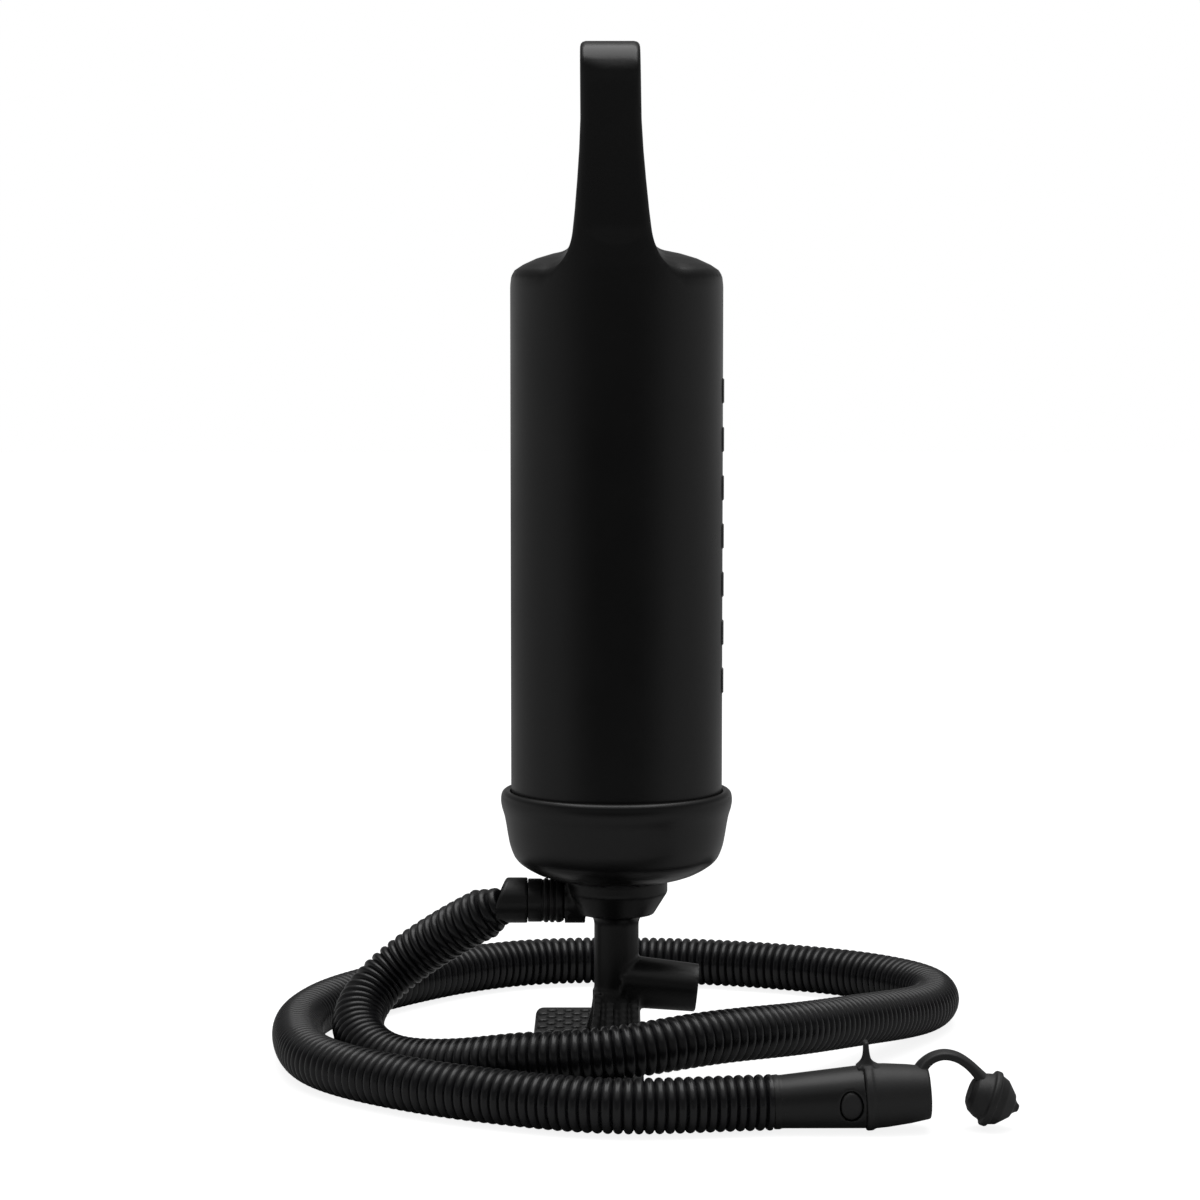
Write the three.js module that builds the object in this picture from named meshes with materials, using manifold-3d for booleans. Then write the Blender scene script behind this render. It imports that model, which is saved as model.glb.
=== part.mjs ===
// A double action hand pump: a barrel with a loop handle slides over a fixed piston.
// The piston stands on a rod of two tubes, one inside the other, on a foot that the user stands on.
// Air goes in through the inner tube and the lower spigot, and out through the outer tube,
// the upper spigot and the hose. Millimetres, +Z up, origin on the floor under the rod's axis.
import * as THREE from "three";
import { mergeVertices } from "three/addons/utils/BufferGeometryUtils.js";
import Module from "manifold-3d";

const wasm = await Module();
wasm.setup();

// ---- Driving dimensions ----
const fitGap = 0.3; // between pieces that seat on each other
const runGap = 0.2; // around pieces that slide or turn
const roundSides = 32;
const barrelSides = 40;
const smallSides = 20;

const barrelRadius = 50.5;
const barrelWall = 2.5;
const barrelTop = 384; // shoulder
const domeRise = 10;
const handleHeight = 104.5; // above the shoulder
const handleWidth = 100; // across both legs
const handleLeg = 11.5;
const handleBar = 27; // height of the top bar
const handleGrip = 28; // thickness of the top bar
const handleRoot = 39; // thickness of the legs where they leave the barrel
const handleShift = 2; // the legs stand this far to the left of the barrel's axis
const handleLean = 1.2; // and the top bar this much farther

const markCount = 7; // raised bars on the barrel's side
const markPitch = 23;
const markHeight = 13;
const markRise = 0.5;
const markFirst = 182;
const markTurn = -3.5; // degrees from +X towards the front

const capGap = 1; // between the housing and the cap
const capFloor = 3.5;
const capLedgeRise = 21.7; // the barrel's lower edge seats above this
const capHeight = 42;
const capLip = 4.9; // how far the lip stands out from the barrel
const gasketHeight = 2;

const rodRadius = 13;
const rodWall = 1.4;
const intakeRadius = 8; // the inner tube
const intakeWall = 1.2;
const bushLength = 10;
const bushWall = 3;
const sealLength = 3;

const nutSeat = 86.3; // height of the ledge that the rod's flange rests on
const rodFlange = 2;
const flangeReach = 5; // of the rod's flange, out from the tube
const chamberReach = 3.5; // of the outlet chamber
const nutReach = 7; // of the ring nut
const housingWall = 4.5;
const housingRise = 6.7; // above the ledge
const chamberDepth = 9.3; // below the ledge
const columnRadius = 10.7;

const footTop = 10;
const footLength = 200;
const footLeft = -41;
const footRight = 11.5;
const footWall = 2.5;
const footCorner = 9;

const inletHeight = 43.2; // where the lower spigot's axis meets the rod's
const inletTilt = 5.7; // degrees below level
const inletReach = 39;
const inletRootRadius = 13;
const inletMouthRadius = 11.5;
const inletBore = 8.8;
const columnBore = 6.8;

const outletRise = 5; // of the upper spigot's axis above the chamber's floor
const outletRadius = 8.4;
const outletBore = 6.4;
const hoseNutLength = 17.3;
const hoseNutWall = 2.3;
const nutRidges = 3;

const pistonDrop = 34; // from the shoulder down to the piston's underside
const pistonHeight = 16;
const pistonCoverHeight = 4;
const pistonGap = 0.6; // to the barrel's bore, which the seals close
const pistonWall = 5.9;
const sealGroove = 4.4;
const sealDepth = 2.6;
const pocketFloor = 2.5;
const valveThickness = 1.6;
const valveLift = 1.2;
const screwRadius = 1.5;

const hoseDiameter = 25;
const cuffLength = 15;
const cuffWall = 2;

// ---- Sizes that follow from them ----
const barrelBore = barrelRadius - barrelWall;
const handleTop = barrelTop + handleHeight;

const nutRadius = rodRadius + nutReach;
const housingRadius = nutRadius + housingWall;
const housingTop = nutSeat + housingRise;
const housingFloor = nutSeat - chamberDepth; // floor of the outlet chamber
const chamberRadius = rodRadius + chamberReach;
const columnTop = housingFloor - 5;

const capBase = housingTop + capGap;
const capLedge = capBase + capLedgeRise;
const capTop = capBase + capHeight;
const capLipRadius = barrelRadius + capLip;

const pistonBase = barrelTop - pistonDrop;
const pistonRadius = barrelBore - pistonGap;
const pocketRadius = pistonRadius - pistonWall;
const screwCircle = pocketRadius - 4;
const portAcross = 0.675 * pocketRadius; // valve centres from the rod's axis, along X
const portAlong = 0.386 * pocketRadius; // and along Y
const valveRadius = 0.193 * pocketRadius;

const outletHeight = housingFloor + outletRise; // axis of the upper spigot
const hoseNutNear = housingRadius + fitGap + 0.4;
const hoseNutFar = hoseNutNear + hoseNutLength;
const hoseNutRadius = outletRadius + hoseNutWall;
const outletTip = hoseNutFar + 1;
const cuffNear = hoseNutFar + fitGap;
const cuffFar = cuffNear + cuffLength;
const cuffRadius = outletRadius + cuffWall;

// The hose's route: out of the upper spigot, down to the left, over the near pedal,
// round behind the pump and back along the front to the nozzle.
// The last number of each point is the height of the hose's centre above where it lies on the floor.
const hoseLevel = hoseDiameter / 2 + fitGap;
const hoseStart = new THREE.Vector3(-cuffFar - 4.7, 0.5, outletHeight - 6);
const hoseEnd = new THREE.Vector3(68, -126.2, hoseLevel);
const hoseDroop = hoseStart.clone().add(new THREE.Vector3(-15.5, 8.5, -9.5));
const hoseRoute = [
  [-94, 16.5, 42.7],
  [-108, 18.5, 32.2],
  [-118.5, 13, 23.2],
  [-124.5, 1.5, 15.2],
  [-124.5, -14, 8.2],
  [-117.5, -31, 3.2],
  [-104, -47.5, 0.2],
  [-68, -72, 4.7],
  [-48, -82, 9.5],
  [-26, -88.5, 11.8],
  [-4, -90, 13.7],
  [18, -85.5, 16.2],
  [40, -74, 17.5],
  [61, -58, 16.5],
  [82, -38, 14.2],
  [125, 22, 7.2],
  [143, 53, 3],
  [158, 82, 0.2],
  [165, 107, 0],
  [161, 133, 0],
  [143, 158, 0],
  [114, 180, 0],
  [40, 207, 0],
  [-38, 207, 0],
  [-72, 190, 0],
  [-100, 163, 0],
  [-142, 103, 0],
  [-153, 70, 0],
  [-157, 36, 0],
  [-145, -34, 0],
  [-127, -62, 0],
  [-101, -86, 0],
  [-70, -107, 0],
  [-10, -132.5, 0],
  [18, -133.5, 0],
  [59, -127, 0],
].map(([x, y, lift]) => new THREE.Vector3(x, y, hoseLevel + lift));
const hoseSteps = 78;
const hoseSides = 10;

const nozzleTilt = 3.2; // degrees above level
const nozzleHeading = 2; // degrees towards the back
const coneStart = 1.2; // clear of the hose's end face, which meets it at a slight angle
const coneLength = 42;
const coneSmall = hoseDiameter / 2 - 0.9;
const coneLarge = hoseDiameter / 2 + 1.7;
const adaptorFlange = coneLarge + 0.8;
const adaptorReach = 29;
const adaptorTip = hoseDiameter / 2 - 0.5;
const nozzleBore = 0.3 * hoseDiameter;
const mouthBore = nozzleBore + 1.8; // widens towards the tip to take the plug
const plugRadius = 0.52 * hoseDiameter;
const plugAt = new THREE.Vector3(167.5, -122.5, plugRadius + 0.4);
const plugTilt = 20; // degrees below level

// ---- Materials ----
const hardBlack = new THREE.MeshStandardMaterial({ color: 0x1c1c1e, roughness: 0.42, metalness: 0 });
const hoseBlack = new THREE.MeshStandardMaterial({ color: 0x161618, roughness: 0.35, metalness: 0 });
const softGrey = new THREE.MeshStandardMaterial({ color: 0x4c4c4e, roughness: 0.7, metalness: 0 });
const tubeGrey = new THREE.MeshStandardMaterial({ color: 0x9a9ca0, roughness: 0.3, metalness: 0 });
const sealBlack = new THREE.MeshStandardMaterial({ color: 0x141414, roughness: 0.8, metalness: 0 });
const pistonWhite = new THREE.MeshStandardMaterial({ color: 0xc8c8c4, roughness: 0.5, metalness: 0 });
const screwSteel = new THREE.MeshStandardMaterial({ color: 0xb0b2b6, roughness: 0.3, metalness: 1 });

const pump = new THREE.Group();

// ---- Solids from three.js shapes ----
function solid(geometry) {
  const bare = geometry.index ? geometry.toNonIndexed() : geometry.clone();
  bare.deleteAttribute("normal");
  bare.deleteAttribute("uv");
  const merged = mergeVertices(bare, 1e-4);
  return new wasm.Manifold(new wasm.Mesh({
    numProp: 3,
    vertProperties: merged.attributes.position.array,
    triVerts: new Uint32Array(merged.index.array),
  }));
}

function geometryOf(manifold) {
  const made = manifold.getMesh();
  const geometry = new THREE.BufferGeometry();
  geometry.setAttribute("position", new THREE.BufferAttribute(made.vertProperties, 3));
  geometry.setIndex(new THREE.BufferAttribute(made.triVerts, 1));
  return geometry;
}

function addMesh(name, shape, material, parent = pump) {
  const geometry = shape.isBufferGeometry ? shape : geometryOf(shape);
  const mesh = new THREE.Mesh(geometry, material);
  mesh.name = name;
  parent.add(mesh);
  return mesh;
}

function union(...solids) {
  return solids.reduce((whole, next) => whole.add(next));
}

function cut(whole, ...tools) {
  return tools.reduce((left, tool) => left.subtract(tool), whole);
}

// A profile of [radius, height] points turned about Z. It runs up the outside and down the inside.
function turned(profile, sides = roundSides) {
  const points = profile.map(([radius, height]) => new THREE.Vector2(radius, height));
  const onAxis = points[0].x === 0 && points.at(-1).x === 0;
  if (!onAxis) points.push(points[0].clone());
  return new THREE.LatheGeometry(points, sides).rotateX(Math.PI / 2);
}

function disc(radius, low, high, sides = roundSides) {
  return solid(turned([[0, low], [radius, low], [radius, high], [0, high]], sides));
}

function ring(inner, outer, low, high, sides = roundSides) {
  return turned([[outer, low], [outer, high], [inner, high], [inner, low]], sides);
}

function box(x0, x1, y0, y1, z0, z1) {
  const geometry = new THREE.BoxGeometry(x1 - x0, y1 - y0, z1 - z0);
  return solid(geometry.translate((x0 + x1) / 2, (y0 + y1) / 2, (z0 + z1) / 2));
}

// An outline in the XY plane pushed up along Z from low to high.
function pushed(shape, low, high, curveSegments = 6) {
  const geometry = new THREE.ExtrudeGeometry(shape, {
    depth: high - low,
    bevelEnabled: false,
    curveSegments,
  });
  return geometry.translate(0, 0, low);
}

function roundedRectangle(x0, x1, y0, y1, radius) {
  const shape = new THREE.Shape();
  shape.moveTo(x0 + radius, y0);
  shape.lineTo(x1 - radius, y0);
  shape.absarc(x1 - radius, y0 + radius, radius, -Math.PI / 2, 0);
  shape.lineTo(x1, y1 - radius);
  shape.absarc(x1 - radius, y1 - radius, radius, 0, Math.PI / 2);
  shape.lineTo(x0 + radius, y1);
  shape.absarc(x0 + radius, y1 - radius, radius, Math.PI / 2, Math.PI);
  shape.lineTo(x0, y0 + radius);
  shape.absarc(x0 + radius, y0 + radius, radius, Math.PI, Math.PI * 1.5);
  return shape;
}

function polygon(points) {
  return new THREE.Shape(points.map(([x, y]) => new THREE.Vector2(x, y)));
}

// ---- Barrel with its handle ----
const barrelFoot = capLedge + gasketHeight + 2 * fitGap;
const domeTop = barrelTop + domeRise;

// The handle's outline lies in the YZ plane. Its thickness along X tapers from the legs to the bar.
function handleLoop() {
  const half = handleWidth / 2;
  const inner = half - handleLeg;
  const rootLevel = barrelTop - 6;
  const outline = roundedRectangle(-half, half, rootLevel, handleTop, 20);
  const loop = solid(pushed(outline, -handleRoot, handleRoot, 8));
  const hole = solid(pushed(
    roundedRectangle(-inner, inner, domeTop + 2, handleTop - handleBar, 11),
    -handleRoot - 1,
    handleRoot + 1,
  ));
  // In the extrusion's own frame X is across the legs and Y is up: stand it up and turn it.
  const standing = loop.subtract(hole).rotate([90, 0, 0]).rotate([0, 0, 90]);
  const grip = handleGrip / 2;
  const root = handleRoot / 2;
  const taper = [
    [root, rootLevel],
    [root, domeTop],
    [(root + grip) / 2 + 0.4, domeTop + 30],
    [grip, handleTop - 38],
    [grip, handleTop - 3],
    [grip - 3, handleTop],
  ];
  const shift = (z) => -handleShift - handleLean * (z - rootLevel) / (handleTop - rootLevel);
  const side = polygon([
    ...taper.map(([x, z]) => [shift(z) + x, z]),
    ...taper.reverse().map(([x, z]) => [shift(z) - x, z]),
  ]);
  return standing.intersect(solid(pushed(side, -half - 1, half + 1)).rotate([90, 0, 0]));
}

function barrelShell() {
  const outside = [
    [0, barrelFoot],
    [barrelRadius, barrelFoot],
    [barrelRadius, barrelTop - 6],
    [barrelRadius - 1.8, barrelTop - 1.5],
    [barrelRadius - 6, barrelTop + 1],
    [barrelRadius - 16, domeTop - 3],
    [barrelRadius - 30, domeTop],
    [0, domeTop + 1],
  ];
  const innerTop = barrelTop - barrelWall;
  const bore = [
    [0, barrelFoot - 1],
    [barrelBore, barrelFoot - 1],
    [barrelBore, innerTop - 6],
    [barrelBore - 6, innerTop],
    [barrelBore - 18, domeTop - 7],
    [0, domeTop - 4],
  ];
  // The legs stay inside a cone that continues the barrel's wall.
  const lean = solid(turned(
    [[0, barrelTop - 7], [barrelRadius, barrelTop - 7], [barrelRadius - 2, handleTop], [0, handleTop]],
    barrelSides,
  ));
  const body = union(solid(turned(outside, barrelSides)), handleLoop().intersect(lean), raisedMarks());
  return body.subtract(solid(turned(bore, barrelSides)));
}

function raisedMarks() {
  const blocks = [];
  for (let i = 0; i < markCount; i += 1) {
    const low = markFirst + i * markPitch;
    blocks.push(box(barrelRadius - 2, barrelRadius + markRise, -5, 5, low, low + markHeight));
  }
  return union(...blocks).rotate([0, 0, markTurn]);
}
addMesh("barrel", barrelShell(), hardBlack);

// ---- End cap, with the rod's bush and seal ----
const rodBore = rodRadius + runGap;
const hubRadius = rodBore + bushWall + 3;
const bushRadius = rodBore + bushWall;
const bushLow = capBase + capFloor;
const sealLow = bushLow + fitGap + bushLength + fitGap;
const hubTop = sealLow + sealLength + 1;

addMesh("end_cap", solid(turned([
  [bushRadius - 1.5, capBase],
  [capLipRadius - 21.4, capBase],
  [capLipRadius - 16.9, capBase + 1.9],
  [capLipRadius - 12.4, capBase + 4.3],
  [capLipRadius - 8.7, capBase + 6.7],
  [capLipRadius - 6.5, capBase + 9],
  [capLipRadius - 5.3, capBase + 11.5],
  [capLipRadius - 3.6, capBase + 16],
  [capLipRadius - 2.4, capBase + 26],
  [capLipRadius - 0.9, capBase + 33],
  [capLipRadius, capBase + 37],
  [capLipRadius - 0.5, capTop - 1],
  [capLipRadius - 2, capTop],
  [barrelRadius + fitGap, capTop],
  [barrelRadius + fitGap, capLedge],
  [barrelBore - 1.5, capLedge],
  [barrelBore - 1.5, capBase + 14],
  [barrelBore - 6, capBase + 8],
  [barrelBore - 14, bushLow + 1],
  [hubRadius, bushLow + 1],
  [hubRadius, hubTop],
  [bushRadius + fitGap, hubTop],
  [bushRadius + fitGap, bushLow],
  [bushRadius - 1.5, bushLow],
], barrelSides)), hardBlack);

addMesh("rod_bush", ring(rodBore, bushRadius, bushLow + fitGap, bushLow + fitGap + bushLength), pistonWhite);
addMesh("rod_seal", ring(rodBore, bushRadius, sealLow, sealLow + sealLength), sealBlack);
addMesh("barrel_gasket", ring(
  barrelBore - 1,
  barrelRadius,
  capLedge + fitGap,
  capLedge + fitGap + gasketHeight,
  barrelSides,
), sealBlack);

// ---- Rod: two tubes on one axis, held in the housing by a ring nut ----
const rodInside = rodRadius - rodWall;
const intakeInside = intakeRadius - intakeWall;
const rodFoot = nutSeat + fitGap;
const rodHead = pistonBase + 6;
const intakeFoot = columnTop - 1;
const intakeHead = pistonBase + 12.5;
const intakeSocket = intakeFoot - fitGap;

addMesh("rod_outer_tube", turned([
  [rodRadius + flangeReach, rodFoot],
  [rodRadius + flangeReach, rodFoot + rodFlange],
  [rodRadius, rodFoot + rodFlange],
  [rodRadius, rodHead],
  [rodInside, rodHead],
  [rodInside, rodFoot],
]), tubeGrey);
addMesh("rod_inner_tube", ring(intakeInside, intakeRadius, intakeFoot, intakeHead, smallSides), tubeGrey);

const nutLow = rodFoot + rodFlange + fitGap;
addMesh("rod_ring_nut", turned([
  [nutRadius, nutLow],
  [nutRadius, housingTop - 0.5],
  [rodRadius + fitGap, housingTop - 0.5],
  [rodRadius + fitGap, nutLow],
]), hardBlack);

// ---- Seal rings on the inner tube ----
const ringThickness = 2;
function tubeRing(low) {
  return ring(intakeRadius + 0.1, intakeRadius + 0.1 + ringThickness, low, low + ringThickness, smallSides);
}
const lowerRingLow = housingFloor - ringThickness - fitGap;
addMesh("intake_ring_lower", tubeRing(lowerRingLow), sealBlack);
const webLow = pistonBase + 9;
const webHigh = pistonBase + 13;
const upperRingLow = webLow + fitGap;
addMesh("intake_ring_upper", tubeRing(upperRingLow), sealBlack);

// ---- Foot: plate, column, housing and both spigots in one moulding ----
// A solid turned about Z, laid along +X with the foot's tilt at the lower spigot.
function alongInlet(turnedSolid) {
  return turnedSolid.rotate([0, 90 + inletTilt, 0]).translate([0, 0, inletHeight]);
}

function footPlate() {
  const halfLength = footLength / 2;
  const plate = solid(pushed(
    roundedRectangle(footLeft, footRight, -halfLength, halfLength, footCorner),
    0,
    footTop,
    4,
  ));
  const hollow = solid(pushed(
    roundedRectangle(
      footLeft + footWall,
      footRight - footWall,
      footWall - halfLength,
      halfLength - footWall,
      footCorner - footWall,
    ),
    -1,
    footTop - footWall,
    4,
  ));
  const ribs = [-60, -30, 30, 60].map((y) => box(
    footLeft + 1,
    footRight - 1,
    y - footWall / 2,
    y + footWall / 2,
    0,
    footTop - 1,
  ));
  return union(plate.subtract(hollow), ...ribs);
}

// Fins that brace the column on the plate, with a wall between them that lies a little lower.
function footFins() {
  const thickness = 2.4;
  const along = polygon([[-48, footTop - 1], [48, footTop - 1], [10, 34], [-10, 34]]);
  const fins = [-7.5, 0.2, 7.9].map((x) => solid(pushed(along, -thickness / 2, thickness / 2))
    .rotate([90, 0, 0])
    .rotate([0, 0, 90])
    .translate([x, 0, 0]));
  const wall = polygon([[-44, footTop - 1], [44, footTop - 1], [9.5, 31], [-9.5, 31]]);
  fins.push(solid(pushed(wall, -7, 7.4)).rotate([90, 0, 0]).rotate([0, 0, 90]));
  const side = polygon([[-34, footTop - 1], [0, footTop - 1], [0, 36], [-10, 36], [-15.5, 24]]);
  fins.push(solid(pushed(side, -4, 4)).rotate([90, 0, 0]));
  return fins;
}

function footStand() {
  const core = solid(turned([
    [0, 0],
    [columnRadius, 0],
    [columnRadius, columnTop - 4],
    [columnRadius + 1.2, columnTop - 1.2],
    [columnRadius + 4, columnTop + 1],
    [housingRadius - 5.5, housingFloor],
    [housingRadius, nutSeat],
    [housingRadius, housingTop],
    [0, housingTop],
  ]));
  const inlet = alongInlet(solid(turned([
    [0, 2],
    [inletRootRadius, 2],
    [inletRootRadius, 14],
    [inletMouthRadius, inletReach],
    [0, inletReach],
  ], 28)));
  const outlet = disc(outletRadius, chamberRadius, outletTip, 24)
    .rotate([0, -90, 0])
    .translate([0, 0, outletHeight]);
  const collar = disc(outletRadius + 2.6, chamberRadius, hoseNutNear - fitGap, 24)
    .rotate([0, -90, 0])
    .translate([0, 0, outletHeight]);
  const whole = union(core, footPlate(), ...footFins(), inlet, outlet, collar);

  const nutHole = disc(nutRadius + fitGap, nutSeat, housingTop + 1);
  const chamber = disc(chamberRadius, housingFloor, nutSeat + 1);
  const socket = disc(intakeRadius + fitGap, intakeSocket, housingFloor + 1, smallSides);
  const ringSeat = disc(
    intakeRadius + ringThickness + fitGap,
    lowerRingLow - fitGap,
    housingFloor + 1,
    smallSides,
  );
  const intake = disc(columnBore, inletHeight - 8, intakeSocket + 1, smallSides);
  const inletHole = alongInlet(disc(inletBore, 9, inletReach + 1, smallSides));
  const inletLink = alongInlet(disc(columnBore - 0.4, -4, 12, smallSides));
  const outletHole = disc(outletBore, chamberRadius + 3.5, outletTip + 1, smallSides)
    .rotate([0, -90, 0])
    .translate([0, 0, outletHeight]);
  const outletLink = box(-chamberRadius - 5.5, -10, -6, 6, housingFloor + 0.5, nutSeat - 0.2);
  return cut(whole, nutHole, chamber, socket, ringSeat, intake, inletHole, inletLink, outletHole, outletLink);
}
addMesh("foot_stand", footStand(), hardBlack);

// ---- Piston: body and cover, with four disc valves between their two plenums ----
const pistonTop = pistonBase + pistonHeight;
const coverLow = pistonTop + fitGap;
const coverTop = coverLow + pistonCoverHeight;
const stemRadius = 1.5;
const barbRadius = 2.3;
const screwAngles = [0, 90, 180, 270];

// A ring of holes that one valve disc covers, with the guide hole for its stem.
function port(x, y, low, high) {
  const holes = [disc(stemRadius + runGap, low, high, 10).translate([x, y, 0])];
  for (let i = 0; i < 4; i += 1) {
    const angle = (i + 0.5) * Math.PI / 2;
    const out = 0.575 * valveRadius;
    const at = [x + out * Math.cos(angle), y + out * Math.sin(angle), 0];
    holes.push(disc(valveRadius / 4, low, high, 8).translate(at));
  }
  return union(...holes);
}

// Half of the piston's inside: sign is +1 for the intake plenum and -1 for the outlet plenum.
function plenum(sign, innerRadius) {
  const wall = 1.5;
  const low = pistonBase + pocketFloor;
  const half = sign > 0
    ? box(wall, 60, -60, 60, low, pistonTop + 1)
    : box(-60, -wall, -60, 60, low, pistonTop + 1);
  const bosses = screwAngles.map((angle) => screwHole(angle, screwRadius + 3, low - 1, pistonTop + 1));
  const hub = disc(innerRadius, low - 1, pistonTop + 2, 24);
  return cut(disc(pocketRadius, low, pistonTop + 1).intersect(half), hub, ...bosses);
}

function screwHole(angle, radius, low, high) {
  const turn = THREE.MathUtils.degToRad(angle);
  const at = [screwCircle * Math.cos(turn), screwCircle * Math.sin(turn), 0];
  return disc(radius, low, high, 12).translate(at);
}

function sealGap(low) {
  return solid(ring(pistonRadius - sealDepth, pistonRadius + 1, low, low + sealGroove));
}

const sealLevels = { piston_seal_lower: pistonBase + 2.6, piston_seal_upper: pistonBase + 9.4 };

function pistonBody() {
  const blank = disc(pistonRadius, pistonBase, pistonTop);
  const rodSocket = disc(rodRadius + fitGap, pistonBase - 1, rodHead + fitGap, 24);
  const outletRing = disc(rodInside, rodHead - 1, webLow, 24);
  const tubeHole = disc(intakeRadius + fitGap, webLow - 1, webHigh + 1, smallSides);
  const ringSeat = disc(intakeRadius + ringThickness + fitGap, webLow - 1, webHigh - 1, smallSides);
  const intakeRoom = disc(rodInside, webHigh, pistonTop + 1, 24);
  const intakeWay = box(0, 20, -6, 6, webHigh, pistonTop + 1);
  const outletWay = box(-20, 0, -6, 6, rodHead + 0.5, webLow);
  const tools = [
    rodSocket,
    outletRing,
    tubeHole,
    ringSeat,
    intakeRoom,
    intakeWay,
    outletWay,
    plenum(1, rodRadius + 3),
    plenum(-1, rodRadius + 3),
    port(portAcross, -portAlong, pistonBase - 1, pistonBase + pocketFloor + 1),
    port(-portAcross, portAlong, pistonBase - 1, pistonBase + pocketFloor + 1),
    ...Object.values(sealLevels).map(sealGap),
    ...screwAngles.map((angle) => screwHole(angle, screwRadius + fitGap, pistonTop - 9, pistonTop + 1)),
  ];
  return cut(blank, ...tools);
}
addMesh("piston_body", pistonBody(), pistonWhite);

const coverPlate = pocketFloor;
function pistonCover() {
  const recess = disc(pocketRadius, coverLow + coverPlate, coverTop + 1)
    .subtract(union(...screwAngles.map((angle) => screwHole(angle, 5.2, coverLow, coverTop + 2))));
  const ports = [
    port(portAcross, portAlong, coverLow - 1, coverTop + 1),
    port(-portAcross, -portAlong, coverLow - 1, coverTop + 1),
  ];
  const seats = screwAngles.map((angle) => screwHole(angle, 3.6, coverTop - 2.2, coverTop + 1));
  const holes = screwAngles.map((angle) => screwHole(
    angle,
    screwRadius + fitGap,
    coverLow - 1,
    coverTop + 1,
  ));
  return cut(disc(pistonRadius, coverLow, coverTop), recess, ...ports, ...seats, ...holes);
}
addMesh("piston_cover", pistonCover(), pistonWhite);

// A seal ring with a lip on each edge that runs on the barrel's bore.
Object.entries(sealLevels).forEach(([name, level]) => {
  const low = level + 0.2;
  const high = level + sealGroove - 0.2;
  const lip = barrelBore - runGap;
  const back = pistonRadius - sealDepth + 0.2;
  addMesh(name, turned([
    [back, low],
    [lip - 0.6, low],
    [lip, low + 0.5],
    [lip, low + 1.2],
    [lip - 0.7, (low + high) / 2],
    [lip, high - 1.2],
    [lip, high - 0.5],
    [lip - 0.6, high],
    [back, high],
  ]), sealBlack);
});

screwAngles.forEach((angle, index) => {
  const seat = coverTop - 2.2;
  const turn = THREE.MathUtils.degToRad(angle);
  const screw = addMesh("piston_screw_" + (index + 1), turned([
    [0, seat - 9],
    [screwRadius, seat - 9],
    [screwRadius, seat + fitGap],
    [3.2, seat + fitGap],
    [3.2, seat + 1.6],
    [2.2, seat + 2.1],
    [0, seat + 2.1],
  ], 12), screwSteel);
  screw.position.set(screwCircle * Math.cos(turn), screwCircle * Math.sin(turn), 0);
});

// A valve: a disc with a stem that snaps through its guide hole. It stands on its seat at height 0.
function valveShape() {
  const stem = coverPlate + fitGap + valveLift;
  return turned([
    [0, -stem - 1.6],
    [1, -stem - 1.6],
    [barbRadius, -stem],
    [stemRadius, -stem],
    [stemRadius, 0],
    [valveRadius, 0],
    [valveRadius - 0.4, valveThickness * 0.6],
    [2.5, valveThickness],
    [0, valveThickness],
  ], 16);
}
const seatGap = 0.1;
const valves = [
  { name: "intake_valve_upper", x: portAcross, y: portAlong, seat: coverLow + coverPlate, up: 1 },
  { name: "outlet_valve_upper", x: -portAcross, y: -portAlong, seat: coverLow, up: -1 },
  { name: "intake_valve_lower", x: portAcross, y: -portAlong, seat: pistonBase, up: -1 },
  { name: "outlet_valve_lower", x: -portAcross, y: portAlong, seat: pistonBase + pocketFloor, up: 1 },
];
valves.forEach(({ name, x, y, seat, up }) => {
  const valve = addMesh(name, valveShape(), sealBlack);
  valve.position.set(x, y, seat + up * seatGap);
  if (up < 0) valve.rotation.x = Math.PI;
});

// ---- Hose nut and cuff on the upper spigot ----
function alongOutlet(turnedSolid) {
  return turnedSolid.rotate([0, -90, 0]).translate([0, 0, outletHeight]);
}

function hoseNut() {
  const grip = hoseNutRadius - 1.2; // between the ridges
  const ridges = Array.from({ length: nutRidges }, (_, i) => {
    const low = hoseNutNear + 2 + i * 2.9;
    return [[grip, low - 0.4], [hoseNutRadius, low], [hoseNutRadius, low + 1.6], [grip, low + 2]];
  });
  return alongOutlet(solid(turned([
    [grip, hoseNutNear],
    ...ridges.flat(),
    [grip, hoseNutNear + 11],
    [hoseNutRadius, hoseNutNear + 11.4],
    [hoseNutRadius, hoseNutFar],
    [outletRadius + fitGap, hoseNutFar],
    [outletRadius + fitGap, hoseNutNear],
  ], 36)));
}
addMesh("hose_nut", hoseNut(), hardBlack);

addMesh("hose_cuff", alongOutlet(solid(turned([
  [cuffRadius - 0.6, cuffNear],
  [cuffRadius, cuffNear + 0.8],
  [cuffRadius, cuffFar - 5],
  [cuffRadius - 0.6, cuffFar],
  [outletBore, cuffFar],
  [outletBore, outletTip + fitGap],
  [outletRadius + fitGap, outletTip + fitGap],
  [outletRadius + fitGap, cuffNear],
], 28))), hardBlack);

// ---- Hose ----
const hoseCurve = new THREE.CatmullRomCurve3(
  [hoseStart, hoseDroop, ...hoseRoute, hoseEnd],
  false,
  "centripetal",
);
const hoseSection = new THREE.Shape(Array.from({ length: hoseSides }, (_, side) => {
  const angle = side * 2 * Math.PI / hoseSides;
  return new THREE.Vector2(Math.cos(angle), Math.sin(angle)).multiplyScalar(hoseDiameter / 2);
}));
addMesh("hose", new THREE.ExtrudeGeometry(hoseSection, {
  steps: hoseSteps,
  extrudePath: hoseCurve,
  bevelEnabled: false,
}), hoseBlack);

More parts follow.
